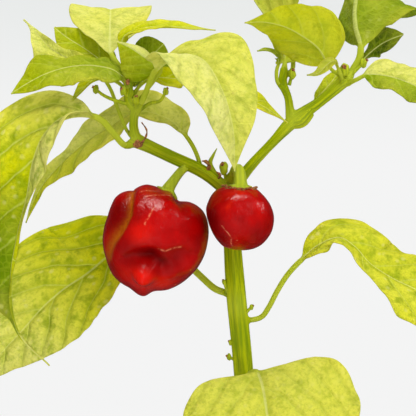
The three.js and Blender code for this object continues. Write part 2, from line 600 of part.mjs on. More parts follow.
// Skins a leaf. Each square of its upper side and the one under it are split along the same diagonal.
function bladeSkin(rings) {
  const n = rings[0].top.length;
  const points = rings.flatMap((ring) => [...ring.top, ...ring.under]);
  const top = (j, i) => 2 * n * j + i;
  const under = (j, i) => 2 * n * j + n + i;
  const last = rings.length - 1;
  const triangles = [];
  const square = (a, b, c, d) => triangles.push([a, b, c], [a, c, d]);
  for (let j = 0; j < last; j++) {
    for (let i = 0; i + 1 < n; i++) {
      square(top(j, i), top(j, i + 1), top(j + 1, i + 1), top(j + 1, i));
      triangles.push([under(j, i), under(j + 1, i + 1), under(j, i + 1)]);
      triangles.push([under(j, i), under(j + 1, i), under(j + 1, i + 1)]);
    }
    square(under(j, 0), top(j, 0), top(j + 1, 0), under(j + 1, 0));
    square(top(j, n - 1), under(j, n - 1), under(j + 1, n - 1), top(j + 1, n - 1));
  }
  for (let i = 0; i + 1 < n; i++) {
    square(top(0, i), under(0, i), under(0, i + 1), top(0, i + 1));
    square(under(last, i), top(last, i), top(last, i + 1), under(last, i + 1));
  }
  const solid = solidOf(points, triangles);
  return solid.volume() > 0 ? solid : solidOf(points, triangles.map(([a, b, c]) => [a, c, b]));
}

// ---------------------------------------------------------------- fruits
// A unit vector from [azimuth, elevation] in degrees.
function direction([azimuth, elevation]) {
  const [a, e] = [degrees(azimuth), degrees(elevation)];
  return new THREE.Vector3(Math.sin(a) * Math.cos(e), -Math.cos(a) * Math.cos(e), Math.sin(e));
}

// The least angle in degrees between a direction and a line of directions.
function angleToLine(from, along) {
  let least = Infinity;
  for (let k = 0; k + 1 < along.length; k++) {
    const [a, b] = [direction(along[k]), direction(along[k + 1])];
    const line = b.clone().sub(a);
    const t = THREE.MathUtils.clamp(from.clone().sub(a).dot(line) / line.lengthSq(), 0, 1);
    least = Math.min(least, from.angleTo(a.addScaledVector(line, t)));
  }
  return THREE.MathUtils.radToDeg(least);
}

function fruitRadius(fruit, d) {
  let share = 1;
  for (const [azimuth, elevation, height, spread] of fruit.bumps) {
    const off = THREE.MathUtils.radToDeg(d.angleTo(direction([azimuth, elevation])));
    share += height * Math.exp(-((off / spread) ** 2));
  }
  for (const { along, depth, spread } of fruit.creases) {
    share -= depth * Math.exp(-((angleToLine(d, along) / spread) ** 2));
  }
  return share;
}

function fruitSolid(fruit, grow = 0) {
  const ball = new THREE.SphereGeometry(1, ...fruit.facets).toNonIndexed();
  ball.rotateX(Math.PI / 2);
  const places = ball.attributes.position;
  for (let i = 0; i < places.count; i++) {
    const d = new THREE.Vector3().fromBufferAttribute(places, i).normalize();
    const p = d.clone().multiply(vector(fruit.half)).multiplyScalar(fruitRadius(fruit, d));
    p.addScaledVector(d, grow).add(vector(fruit.centre));
    places.setXYZ(i, p.x, p.y, p.z);
  }
  return solidOfGeometry(ball);
}

function fruitStalkSolid(stalk, stemSpace) {
  return rod(stalk.line, 10, 3).subtract(fruitSolid(FRUITS[stalk.fruit], GAP)).subtract(stemSpace);
}

// ---------------------------------------------------------------- the plant in its pot
const plant = new THREE.Group();
function addPiece(name, solid, material) {
  const mesh = new THREE.Mesh(geometryOf(solid), material);
  mesh.name = name;
  plant.add(mesh);
}

const stemSpace = stemSolid(GAP);
addPiece("pot", potSolid(), MATERIALS.clay);
addPiece("soil", soilSolid(stemSpace), MATERIALS.soil);
addPiece("stem", stemSolid(0), MATERIALS.stem);
for (const [name, leaf] of Object.entries(LEAVES)) {
  addPiece(name, leafSolid(leaf).subtract(stemSpace), MATERIALS.leaf);
}
for (const [name, fruit] of Object.entries(FRUITS)) {
  addPiece(name, fruitSolid(fruit), MATERIALS.fruit);
}
for (const [name, stalk] of Object.entries(FRUIT_STALKS)) {
  addPiece(name, fruitStalkSolid(stalk, stemSpace), MATERIALS.stem);
}

export default plant;
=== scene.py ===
"""A potted chilli pepper plant with two ripe fruits, dressed for the camera.

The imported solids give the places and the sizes. Fine meshes stand for them here: a clay pot, its
soil, one ridged green stem, veined leaves and two glossy fruits. Lengths in the tables are
millimetres, in the solids' own frame, and MM turns them into the scene's metres.
"""

import math

import bmesh
import bpy
import numpy as np
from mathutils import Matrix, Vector, noise


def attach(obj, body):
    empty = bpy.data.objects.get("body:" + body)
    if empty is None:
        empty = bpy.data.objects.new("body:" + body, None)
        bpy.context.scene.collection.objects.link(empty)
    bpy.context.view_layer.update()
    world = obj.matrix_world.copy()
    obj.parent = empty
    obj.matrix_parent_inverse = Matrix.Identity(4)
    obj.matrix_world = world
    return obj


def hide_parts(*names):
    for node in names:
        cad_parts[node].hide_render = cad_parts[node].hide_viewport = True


MM = 0.001
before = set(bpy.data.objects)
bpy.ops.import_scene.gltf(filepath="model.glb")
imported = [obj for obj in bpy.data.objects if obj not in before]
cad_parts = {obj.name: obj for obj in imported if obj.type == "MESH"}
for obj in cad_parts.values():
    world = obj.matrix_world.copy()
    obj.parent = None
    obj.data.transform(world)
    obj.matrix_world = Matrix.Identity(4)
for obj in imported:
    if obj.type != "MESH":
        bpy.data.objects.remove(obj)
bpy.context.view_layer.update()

# ---------------------------------------------------------------- camera, light and stage
CAMERA = dict(place=(-16, -700, 249), sensor=36, view_width=158, near=0.01, far=50)
BACKDROP = (0.903, 0.905, 0.905)
BACKDROP_TOP = (0.80, 0.82, 0.81)
TOP_FADE = (0.02, 0.14)
FILL_LIGHT = (0.56, 0.565, 0.57)
# How strong the light is that gloss mirrors, in front of the plant and behind it, and where it changes.
MIRRORED = (0.0, 0.05)
MIRRORED_FADE = (0.4, 1.0)
FLOOR = dict(radius=4000, plain=350.0, faded=900.0, corners=96, colour=(0.84, 0.84, 0.83, 1))
LAMPS = {
    # place, what it points at, size, strength in watts, colour, and whether gloss mirrors it
    "lamp_above": ((-110, -130, 1250), (-10, -10, 250), 430, 4.1, (1.0, 0.985, 0.95), True),
    "lamp_sky": ((-110, -130, 1300), (-10, -10, 250), 800, 4.2, (1.0, 0.985, 0.95), False),
    "lamp_right": ((920, -130, 820), (-10, 0, 240), 170, 1.2, (1.0, 0.99, 0.97), True),
    "lamp_front": ((420, -850, 900), (-10, 0, 250), 600, 7.0, (1.0, 0.99, 0.97), False),
    "lamp_low": ((-60, -720, 70), (-30, 0, 250), 500, 1.9, (1.0, 1.0, 0.98), False),
    "lamp_behind": ((-250, 1100, 900), (-10, 0, 260), 900, 12.0, (1.0, 1.0, 1.0), False),
}

# ---------------------------------------------------------------- pot and soil
POT = dict(
    height=120, foot_radius=45, neck_radius=61, rim_radius=70, rim_height=27, wall=6, rim_wall=9,
    floor=8, edge=2.5, foot_edge=1.8, foot_flat=4, under_edge=2.0, draft=0.2, cove=3,
    drain_radius=5, drain_circle=24, drains=3, facets=192, wall_points=30, side_points=8,
    inside_points=24,
)
# The soil lies a gap off the pot. Its top swells, has clods and sags towards its edge.
SOIL = dict(
    below_rim=14, bump=1.12, clod=0.5, sag=1.2, sag_radius=55, edge_depth=3.5, edge_gap=0.2, gap=0.3,
    rings=90, facets=240,
)
# The grain of the soil's top: heights, and how fine each is.
SOIL_GRAIN = ((1.1, 0.35), (0.7, 0.9), (0.4, 2.1))
# Loose crumbs and pale grit on it.
LUMPS = dict(
    seed=7, count=620, reach=53, stem_clear=6, smallest=0.5, more=1.6, flattest=0.7, stretch=0.6,
    raised=0.25, uneven=0.55, grit_every=9,
)

# ---------------------------------------------------------------- the stem
# Each shoot of the stem is a list of (x, y, z, radius).
SHOOTS = {
    "trunk": [
        (0, 0, 66, 4.3), (0, 0, 106, 4.3), (-1, 0, 150, 3.9), (-2.5, 0, 186, 3.6),
        (-5.5, 0, 218, 3.6), (-7, 0, 240, 3.2), (-8, 0, 257, 3.5),
    ],
    "left_branch": [
        (-7, 0, 254, 2.6), (-17, -2, 262, 2.5), (-30.5, -4, 268.5, 2.35), (-38, -5, 272, 2.4),
        (-43.5, -5, 274.5, 2.8),
    ],
    "left_shoot": [(-42.5, -5, 273, 2.3), (-44, -5, 278.5, 1.8), (-44, -5, 283, 1.7), (-43, -5, 286.5, 1.9)],
    "left_top": [(-43, -5, 285.5, 1.6), (-46, -4, 289, 1.6), (-46, -2, 293, 1.5), (-45.5, 0, 299, 1.5)],
    "right_branch": [
        (-9, 0, 253, 2.5), (-0.3, 1, 264.5, 2.0), (8.7, 2, 274.2, 1.85), (16.8, 3, 282.6, 2.6),
        (26.5, 4, 289.5, 2.0), (37, 5, 298.5, 2.5),
    ],
    "right_heel": [(16.5, 3, 281.5, 2.4), (19.3, 3, 282.6, 2.9), (22.8, 3.5, 286, 2.3)],
    "right_shoot": [(15.5, 3, 282, 2), (14.5, 3, 291, 1.5), (12.5, 3, 296.5, 1.7), (13, 3, 302.5, 1.5)],
}
# Paler places on the stem, where it forks or bears leaves, and how far each of them reaches.
NODES = [(-8, 0, 257), (-43.5, -5, 274.5), (-43, -5, 286), (16.5, 3, 283), (37, 5, 298.5), (-5, 0, 212)]
NODE_REACH = 5.0
RIDGES = 5
RIDGE_DEPTH = 0.09
RIDGE_TURN = math.radians(-19)
RIDGE_TWIST = 0.01
STEM_VOXEL = 0.42
# The stem's end of a leaf's and of a fruit's stalk: its length, which is at most a share of the bare
# stalk, and how many times the stalk's width it has at its start and its end.
LEAF_ROOT = dict(length=5.5, most=0.6, start=1.75, end=0.9, points=6)
FRUIT_ROOT = dict(length=4, start=1.5, end=0.9, points=5)
# How the streaks run on the stem: its usual radius, and how far apart two shoots' patterns start.
STREAKS = dict(radius=3.0, apart=17.0, step=1.5)

# Small buds and stubs on the stem: the points of a thin stalk, and the bud's radius at its end.
BUDS = [
    ([(-45.5, -4, 288), (-51, -6, 289.5), (-55.5, -8, 291.5), (-58, -9, 293.5)], 1.4),
    ([(-46, -3, 290), (-47, -5, 291.5), (-48, -7, 293)], 1.5),
    ([(-43, -5, 285), (-43, -6.5, 287), (-43, -8, 289.5)], 1.6),
    ([(-43, -3, 285), (-38, -3.5, 288.5), (-34, -4, 289.5), (-32, -4, 293)], 1.3),
    ([(15, 3, 296), (15.5, 2, 298), (16, 1, 300)], 1.7),
    ([(37, 5, 298), (36.5, 3, 300), (36, 1, 301.5)], 2.2),
    ([(37, 5, 298), (40, 5, 301), (43.5, 5, 304.5)], 1.6),
    ([(-9, 0, 259), (-9.5, -1.5, 261.5), (-10, -3, 264)], 2),
    ([(-8.5, -1, 217), (-9.2, -1.5, 219), (-10, -2, 221)], 0.9),
    ([(-3, -1, 208), (-1, -1.5, 210), (0.5, -2, 211.5)], 0.9),
    ([(-4, 0, 195), (-6, -0.5, 196.5), (-7.5, -1, 198)], 0.9),
    ([(-3.5, 0, 190.5), (-6, -0.5, 191.5), (-8, -1, 192.5)], 1.1),
    ([(-1, 0, 136), (2, -0.5, 138), (4, -1, 139.5)], 1.2),
]
# A bud's stalk at its start and end, the bud, and the dry tip on it as shares of the bud.
BUD = dict(
    stalk=(0.78, 0.54), stretch=(0.85, 0.85, 1.2), uneven=0.25, tip=0.42, tip_place=0.9, tip_uneven=0.8,
    paleness=0.6,
)
# A green spike in the fork, and dry threads, as points (x, y, z, radius).
SPIKE = [
    (-13.5, -1, 262, 1.1), (-15.2, -1.5, 266, 0.9), (-14, -2, 269, 0.55), (-12.6, -2.5, 271.6, 0.15),
]
DRY_THREADS = [
    [(-42, -8.3, 272.3, 0.45), (-39.7, -8.2, 275, 0.35), (-39, -7.4, 278, 0.3), (-41, -6.4, 281.3, 0.2)],
    [
        (-18.2, -2.2, 266.8, 0.3), (-16.4, -3.4, 266.3, 0.6), (-15.6, -3.6, 264.2, 0.7),
        (-16.8, -3.4, 262.9, 0.4),
    ],
    [(-12.8, -3, 262.6, 0.3), (-11.4, -3.8, 261.4, 0.45), (-12.2, -3.6, 260, 0.3)],
]
THREAD_UNEVEN = 0.35
# Scars on the stem: centre and half sizes.
SCARS = [((-42.3, -7.6, 273), (1.8, 0.9, 1.5)), ((-46.2, -6.6, 296.3), (0.7, 0.5, 1.1))]
SCAR_UNEVEN = 0.7

# ---------------------------------------------------------------- the leaves
# path      the leaf's line, from the middle of the stem along its stalk and its rib to its tip
# stalk     length of the bare stalk, before the blade starts
# halves    greatest width of the blade's left and right half, seen from its base with its upper side up
# broad     where along the blade that is, from 0 to 1, and tail how drawn out its tip is
# face      where the blade's upper side looks, at its base and at its tip
# lift      degrees that its left and its right half are raised at its base, and tip_lift at its tip
# curl      degrees that each half turns further between rib and edge, up if more than 0
# wave      height of the waves along its edges, and waves how many there are
# looks     how pale it is at its base and at its tip, below 0 for the darkest green, a paleness that also holds
#           painted light and shade; then how mottled it is and how yellow along its edges, 0 to 1
# trim      rows of (place along the blade, left, right): each half's width, as a share of its outline
# veined    how strong its side veins and the swelling between them are
# shade     painted light and shade on its left and its right half: how much paler, or below 0 darker, each is than its looks say
# dry_tip   how much paler its very tip is
# What a leaf has where its own row says nothing.
USUAL_LEAF = dict(tail=1, curl=0, waves=3, veined=1, shade=(0, 0), dry_tip=0, trim=[(0, 1, 1), (1, 1, 1)])
LEAVES = {
    "leaf_left_front": dict(
        path=[
            (-43.5, -6, 274), (-47, -8, 272.5), (-51, -10, 276.5), (-56, -12, 282), (-62, -14, 284),
            (-70, -17, 282.5), (-76.5, -20, 276), (-80.5, -21, 266), (-82.5, -22, 254), (-86.5, -21, 238),
            (-89, -19, 221), (-86.5, -16, 203), (-75, -12, 190),
        ],
        stalk=21, halves=(13, 25), broad=0.27, tail=1.3, face=((0, -0.4, 0.9), (-0.7, -0.7, 0)),
        lift=(22, 20), curl=5, wave=1.2, looks=(0.95, -0.6, 1, 0.3), veined=1.6, shade=(0.45, 0),
        dry_tip=1.5,
        trim=[
            (0, 1, 0.45), (0.15, 1, 0.8), (0.3, 0.8, 1), (0.42, 0.45, 1), (0.55, 0.15, 1), (0.72, 0.12, 1),
            (0.82, 0.2, 0.25), (1, 0.2, 0.2),
        ],
    ),
    "leaf_left_rear": dict(
        path=[
            (-19, -1, 263), (-19.5, 1, 267), (-22, 5, 273), (-26, 9, 278.5), (-32.5, 14, 284),
            (-43.5, 17, 286.5), (-54, 18, 281), (-64.5, 18, 274), (-74, 18, 265.5), (-82.5, 18, 254.5),
            (-87, 18, 243),
        ],
        stalk=17, halves=(13, 13), broad=0.35, tail=1.2, face=((0, -0.55, 0.83), (-0.6, -0.45, 0.6)),
        lift=(5, 20), curl=-8, wave=1, waves=4, looks=(0.95, 0.5, 0.3, 0.4), veined=1.4, shade=(0, 0.2),
        trim=[(0, 0.3, 0.85), (0.25, 0.35, 0.8), (0.42, 0.75, 0.72), (0.6, 1.2, 0.55), (1, 1.1, 0.7)],
    ),
    "leaf_left_low": dict(
        path=[
            (-6, 0, 216), (-13, 4, 218), (-18.5, 8, 222.5), (-27, 13, 230), (-36.5, 16.5, 234),
            (-45.5, 17.5, 234.5), (-53, 17.5, 231.5), (-63, 15, 223.5), (-72, 13, 217.5), (-80, 11, 210.5),
            (-87, 9, 202.5), (-96, 6, 192.5), (-104, 2, 181),
        ],
        stalk=47, halves=(22, 29), broad=0.36, tail=1.05, face=((-0.3, -0.75, 0.6), (-0.4, -0.85, 0.3)),
        lift=(8, 8), curl=-12, wave=0.5, looks=(0.35, 1, 1, 0.2), veined=1.3,
        trim=[
            (0, 0.7, 0.95), (0.14, 0.7, 1.06), (0.22, 0.74, 1.11), (0.3, 0.84, 1.03), (0.37, 0.97, 1.03),
            (0.46, 1.09, 1.08), (0.62, 1.17, 1.12), (0.8, 1.22, 1.08), (1, 1.2, 1),
        ],
    ),
    "leaf_left_top": dict(
        path=[
            (-45.5, -0.5, 297), (-49.5, 0, 302.5), (-53, 4, 308), (-54, 14, 315.5), (-54.5, 26, 323.5),
            (-55, 38, 328.5), (-55.5, 50, 329), (-56, 60, 326),
        ],
        stalk=13, halves=(16.5, 16.5), broad=0.55, face=((0, -0.85, 0.5), (0, 0.1, 1)), lift=(0, 0),
        curl=10, wave=0.8, waves=2, looks=(0.85, 0.8, 0.2, 0.3), veined=0.5,
    ),
    "leaf_left_high": dict(
        path=[
            (-44.9, 1.2, 298.4), (-45, 4, 303), (-48.5, 4, 309.5), (-48, 4, 314.5), (-43.5, 4, 317),
            (-37, 4, 318.3), (-25, 4, 318), (-13, 3, 316.8),
        ],
        stalk=14, halves=(8, 8), broad=0.4, tail=1.3, face=((-0.2, -0.5, 0.85), (0, -0.5, 0.85)),
        lift=(0, 20), wave=0.4, waves=2, looks=(0.4, 0.65, 0.1, 0.3), veined=0.5,
        trim=[(0, 1, 1.6), (0.4, 0.85, 1.5), (0.6, 0.7, 0.8), (1, 0.6, 0.8)],
    ),
    "leaf_left_near": dict(
        path=[
            (-43, -5, 285.5), (-40, -9, 290.5), (-38, -11, 295.5), (-35, -14, 301), (-27, -22, 305.2),
            (-18, -32, 303), (-10.5, -40, 290.5), (-7, -42, 277), (-6.5, -40, 262),
        ],
        stalk=18, halves=(13, 20), broad=0.38, tail=1.15, face=((0, -0.4, 0.9), (0.5, -0.85, 0.1)),
        lift=(20, 15), wave=1, looks=(0.78, 0.84, 0.3, 0), veined=0.5, shade=(-0.05, 0.25),
        trim=[(0, 0.12, 0.3), (0.1, 0.4, 0.6), (0.2, 0.9, 1), (0.35, 1.25, 1), (0.6, 1.2, 1), (1, 1, 1)],
    ),
    "leaf_left_fold": dict(
        path=[
            (-43, -3.5, 288), (-39.5, -4, 293), (-36, -5, 297.5), (-33.5, -6.5, 301.5), (-37.8, -8, 304.5),
            (-41.5, -8.5, 307), (-45.3, -9, 309.4), (-50, -9, 311.3),
        ],
        stalk=17, halves=(11, 4), broad=0.45, face=((0.1, -0.7, 0.7), (0, -0.6, 0.8)), lift=(-50, 0),
        curl=-15, wave=0.3, waves=2, looks=(0.22, 0.4, 0.2, 0), veined=0.3, shade=(-0.1, 0.95),
    ),
    "leaf_left_side": dict(
        path=[
            (-45.8, -1.5, 293.5), (-48.5, -5.5, 298.5), (-52, -9, 301), (-57.5, -12, 302), (-63, -15, 302),
            (-69, -17, 301), (-76, -20, 298.5), (-81.5, -21, 295.5), (-88.6, -21, 291),
        ],
        stalk=5, halves=(12, 12), broad=0.42, face=((-0.1, -0.7, 0.7), (-0.3, -0.75, 0.6)), lift=(0, 5),
        wave=0.9, looks=(0, 0.3, 0.3, 0.3), veined=0.6,
        trim=[
            (0, 0.9, 1.1), (0.15, 0.9, 0.8), (0.3, 0.8, 0.35), (0.5, 0.85, 0.5), (0.62, 0.95, 0.9),
            (0.75, 1, 1.1), (1, 1, 0.8),
        ],
    ),
    "leaf_left_back": dict(
        path=[
            (-43.5, -4, 275), (-46.5, -2, 278), (-50, 0, 286), (-53.5, 1, 295), (-59, 3, 302),
            (-65, 4, 305), (-71, 5, 307), (-76, 6, 310), (-80, 7, 314), (-83, 8, 317.8), (-87, 9, 321.5),
        ],
        stalk=29, halves=(14, 8), broad=0.36, tail=1.5, face=((-0.1, -0.75, 0.65), (-0.4, -0.8, 0.4)),
        lift=(10, 10), wave=0.8, looks=(0.6, 1, 0.1, 0.2),
        trim=[(0, 1, 0.4), (0.45, 1.15, 0.4), (0.72, 0.65, 0.5), (1, 0.45, 0.3)],
    ),
    "leaf_left_dark": dict(
        path=[
            (-46, 1, 294.5), (-49.5, 7, 299), (-56, 13, 305), (-64, 16, 311), (-71, 18, 315.5),
            (-76, 19, 319.5),
        ],
        stalk=11, halves=(9, 8), broad=0.5, face=((-0.4, -0.6, 0.7), (-0.5, -0.6, 0.6)), lift=(10, 10),
        wave=0.6, waves=2, looks=(0.2, 0.3, 0.2, 0.1),
    ),
    "leaf_left_young": dict(
        path=[
            (-46, -2, 292.5), (-50, -1.5, 296.5), (-55, -2.5, 298.3), (-59.5, -5, 297), (-63, -9, 293.3),
            (-66.5, -13, 289),
        ],
        stalk=10, halves=(3.5, 3.5), broad=0.4, tail=0.9, face=((-0.3, -0.5, 0.8), (-0.6, -0.7, 0.3)),
        lift=(20, 20), wave=0.2, waves=2, looks=(0.4, 0.5, 0, 0.2),
    ),
    "leaf_left_round": dict(
        path=[
            (-44.2, 0.5, 295.9), (-40.6, 4.2, 299), (-39.2, 6.5, 303.5), (-37, 8, 308), (-33, 9, 312.2),
        ],
        stalk=8, halves=(8, 8), broad=0.6, tail=0.7, face=((0.2, 0.8, 0.5), (0.3, 0.8, 0.5)), lift=(5, 5),
        wave=0.4, waves=2, looks=(0, 0.08, 0, 0), veined=0.5,
    ),
    "leaf_left_reach": dict(
        path=[
            (-44.8, -1.5, 291), (-41.5, 1, 296), (-37, 2, 298.5), (-31.5, 2, 298.5), (-23, 2, 297.5),
            (-13.5, -2, 295), (-4, -6, 291.5), (4.3, -8, 287.3), (14, -10, 280.8),
        ],
        stalk=7, halves=(9, 11), broad=0.4, tail=1.2, face=((0.1, -0.5, 0.85), (0.6, -0.5, 0.6)),
        lift=(10, 10), wave=0.7, looks=(0.4, 0.6, 0.1, 0.8),
    ),
    "leaf_right_tip": dict(
        path=[
            (36.5, 5.5, 298.5), (33.8, 3.5, 300), (31.2, 1, 301.5), (29, -2, 304.2), (25.5, -6, 309.5),
            (19.5, -10, 313.7), (12.5, -13, 317), (4, -16, 318.3), (-2.5, -18, 317.5),
        ],
        stalk=9, halves=(8, 14), broad=0.42, tail=1.15, face=((-0.2, 0.6, 0.75), (-0.1, 0.5, 0.85)),
        lift=(10, 10), wave=0.8, looks=(0.36, 0.6, 0.4, 0.4), veined=0.7,
        trim=[(0, 1.5, 1), (0.3, 1.75, 1), (0.6, 1.7, 1), (0.85, 1.2, 1), (1, 1, 1)],
    ),
    "leaf_right_veil": dict(
        path=[
            (13, 3, 301.5), (13.5, 6, 305.5), (13.5, 8, 310), (12, 9, 312.7), (9.2, 10, 316.3),
            (4, 12, 321.3),
        ],
        stalk=4, halves=(19, 9), broad=0.24, face=((0.1, 0.97, -0.1), (0.2, 0.95, 0.1)), lift=(5, 60),
        wave=0.5, waves=2, looks=(0.4, 0.5, 0.1, 0),
    ),
    "leaf_right_crown": dict(
        path=[
            (13, 3, 299.5), (16.5, 8, 302.5), (15.5, 13.5, 311), (9, 17, 319.5), (6, 19, 325.3),
            (3.2, 22, 329.6), (0.5, 26, 334.5), (-2.5, 31, 340),
        ],
        stalk=25, halves=(17, 11), broad=0.4, tail=1.15, face=((0.1, 0.8, 0.6), (0, 0.7, 0.7)),
        lift=(8, 45), wave=0.7, waves=2, looks=(0.75, 0.75, 0.1, 0.2),
    ),
    "leaf_right_tall": dict(
        path=[
            (37, 5.5, 297.5), (39.5, 6, 302), (42, 6, 306.5), (42.5, 6.5, 311.5), (41, 8, 318),
            (41, 12, 326), (44, 18, 337), (51, 25, 346), (62, 32, 350), (73, 38, 346),
        ],
        stalk=14, halves=(24, 20), broad=0.42, tail=1.15, face=((0.1, 0.95, -0.2), (0.3, 0.5, 0.8)),
        lift=(8, 60), wave=1.2, looks=(-0.15, 0.1, 0.4, 0.2), veined=0.7,
        trim=[(0, 1, 1), (0.25, 1, 0.9), (0.45, 1.1, 0.45), (0.7, 1.2, 0.3), (1, 1.3, 0.3)],
    ),
    "leaf_right_dark": dict(
        path=[
            (35.5, 6, 296), (38.5, 11.5, 300), (44.5, 15.5, 307.5), (51, 18, 313), (55.5, 20, 315.3),
            (60.5, 21, 317),
        ],
        stalk=13, halves=(6.5, 6.5), broad=0.5, tail=0.9, face=((-0.3, 0.7, 0.65), (-0.2, 0.7, 0.65)),
        lift=(5, 5), wave=0.5, waves=2, looks=(-0.5, -0.5, 0.2, 0),
        trim=[(0, 0.3, 0.3), (0.3, 0.45, 0.45), (0.55, 1.1, 1.1), (0.8, 1.25, 1.1), (1, 1, 1)],
    ),
    "leaf_right_side": dict(
        path=[
            (37, 3.5, 296.5), (40.5, 0.5, 297.8), (44, -1.5, 299.5), (49, -5, 299.3), (54.5, -9, 297.8),
            (61.6, -13, 294.5), (68, -17, 290), (75, -20, 285), (81, -22, 279),
        ],
        stalk=7, halves=(13, 13), broad=0.32, tail=1.1, face=((0.1, -0.3, 0.95), (0.4, -0.4, 0.8)),
        lift=(35, -38), curl=-5, wave=0.8, looks=(0.56, 0.48, 0.6, 0.2), shade=(0.35, -0.45),
        trim=[(0, 1, 0.4), (0.2, 0.7, 0.5), (0.4, 0.55, 0.55), (0.6, 0.45, 0.6), (1, 0.4, 0.6)],
    ),
    "leaf_right_behind": dict(
        path=[
            (15.5, 3, 282.5), (18, 7, 284.5), (21.3, 10, 287.1), (25, 12.5, 290), (28.2, 14, 293.6),
            (31.4, 16, 297.2), (34.3, 18, 300.8), (37.6, 20, 305),
        ],
        stalk=15, halves=(4, 4.5), broad=0.5, face=((-0.3, -0.6, 0.7), (-0.3, -0.6, 0.7)), lift=(5, 5),
        wave=0.4, waves=2, looks=(0.2, 0.4, 0, 0.2),
    ),
    "leaf_right_hook": dict(
        path=[
            (35.5, 3.5, 296.5), (34, -3, 300), (31.5, -6, 304.3), (28.5, -7.5, 302.5), (26.5, -8.5, 300.3),
            (24.3, -9, 299), (21, -9.5, 298.8),
        ],
        stalk=9, halves=(2.6, 2.6), broad=0.45, face=((0.3, -0.5, 0.8), (0, -0.6, 0.8)), lift=(15, 15),
        wave=0, waves=1, looks=(0.7, 0.7, 0, 0.4),
    ),
    "leaf_right_small": dict(
        path=[
            (14, 3, 293), (10.5, 0, 296.5), (10, -1, 301), (11, -2, 305.5), (8.5, -4, 308),
            (5.5, -6, 308.5), (2.5, -7, 308),
        ],
        stalk=12, halves=(2.4, 2.4), broad=0.4, face=((-0.6, -0.5, 0.6), (0, -0.5, 0.85)), lift=(15, 15),
        wave=0, waves=1, looks=(0.1, 0.1, 0, 0),
    ),
    "leaf_right_low": dict(
        path=[
            (-4, 0, 206), (4, -1, 207.5), (7, -3, 211.5), (10, -5, 217.5), (14, -7, 224), (19.5, -9, 230),
            (26, -11, 235.5), (33, -13, 238), (38.7, -15, 234.5), (44, -17, 228.5), (52.4, -19, 223),
            (60.7, -21, 219), (70, -22, 213), (77.5, -22, 205), (83, -22, 195),
        ],
        stalk=36, halves=(14, 18), broad=0.45, face=((0.1, -0.65, 0.75), (0.5, -0.65, 0.5)), lift=(8, 38),
        tip_lift=(5, -15), curl=-5, wave=1.1, waves=4, looks=(0.58, 0.64, 0.9, 0.3), veined=0.8,
        trim=[
            (0, 0.9, 1), (0.1, 1.02, 0.98), (0.16, 1.08, 0.88), (0.22, 1.09, 0.7), (0.27, 1, 0.5),
            (0.32, 0.97, 0.36), (0.4, 1.1, 0.34), (0.5, 1.08, 0.7), (0.6, 1.13, 1.08), (0.75, 1.2, 1.15),
            (1, 1, 1.1),
        ],
    ),
    "leaf_front_low": dict(
        path=[
            (-2.5, 0, 176), (-2, -8, 182), (-0.5, -16, 187), (2, -24, 188.5), (3.5, -31, 185.5),
            (5, -40, 176.5), (6, -51, 163), (7, -65, 148), (8, -80, 136),
        ],
        stalk=28, halves=(35, 30), broad=0.34, face=((0.05, -0.5, 0.85), (0, -0.7, 0.7)), lift=(20, 2),
        tip_lift=(5, 2), curl=-5, wave=1.6, looks=(0.72, 0.66, 0.35, 0.3), veined=0.6,
        trim=[(0, 1.15, 1.1), (0.25, 0.98, 1.02), (0.45, 0.9, 0.97), (0.65, 0.88, 0.96), (1, 1, 1)],
    ),
    "leaf_low_rear": dict(
        path=[
            (-1, 0, 152), (2, 8, 157), (6, 18, 160), (10, 30, 158), (14, 45, 151), (18, 62, 141),
            (22, 80, 128),
        ],
        stalk=24, halves=(19, 19), broad=0.38, tail=1.15, face=((0, 0.1, 1), (0, 0.3, 0.9)), lift=(8, 8),
        curl=-8, wave=1.1, looks=(0.5, 0.5, 0.4, 0.3),
    ),
    "leaf_low_right": dict(
        path=[
            (-1, 0, 146), (8, 2, 151), (18, 4, 155), (30, 6, 154), (46, 8, 147), (63, 9, 137), (80, 8, 122),
        ],
        stalk=26, halves=(18, 18), broad=0.38, tail=1.15, face=((0.1, 0, 1), (0.4, 0, 0.9)), lift=(8, 8),
        curl=-8, wave=1.1, looks=(0.6, 0.5, 0.4, 0.3),
    ),
    "leaf_low_left": dict(
        path=[
            (0, 0, 136), (-8, -4, 142), (-18, -8, 147), (-30, -13, 148), (-45, -18, 143), (-62, -23, 135),
            (-79, -28, 124),
        ],
        stalk=26, halves=(18, 18), broad=0.38, tail=1.15, face=((-0.1, 0, 1), (-0.4, 0, 0.9)), lift=(8, 8),
        curl=-8, wave=1.1, looks=(0.55, 0.5, 0.4, 0.3),
    ),
}
# How a blade is made: its thickness, its points along and across it, and the ripples on its edges.
BLADE = dict(
    thick=0.42, edge_thick=0.2, tip_width=0.7, across=45, crowding=1.45, ring_step=1.1,
    ring_limits=(14, 110), end=0.998, stalk_step=1.3, blend=5, blend_start=0.2, wave_start=6,
    wave_end=4, wave_shift=1.3, ripple=0.25, ripple_pace=2.7, ripple_width=10,
)
# Its side veins: how far apart they are, how they slant, and how the blade swells between them.
VEINS = dict(
    gap=13, limits=(4, 8), slope=1.05, sweep=0.018, lean=0.8, flank=2.2, rib_flank=2.5,
    quilt=0.85, full_width=14, edge_loss=0.6, groove=0.35, groove_width=1.3,
)
# The bare stalk, stouter for a wider leaf, and the rib that it turns into under the blade.
STALK = dict(
    radius=1.15, flare=1.5, flare_length=4, taper=0.5, full_width=36, slimmest=0.62, stoutest=1.15,
)
RIB = dict(width=0.62, least=0.3, depth=0.8)
# Where along a blade its dry tip starts, and how soon it is fully pale.
DRY_TIP = dict(start=0.80, length=0.12)
# How far apart the patterns of two leaves lie.
PATTERN_STEP = 7.3
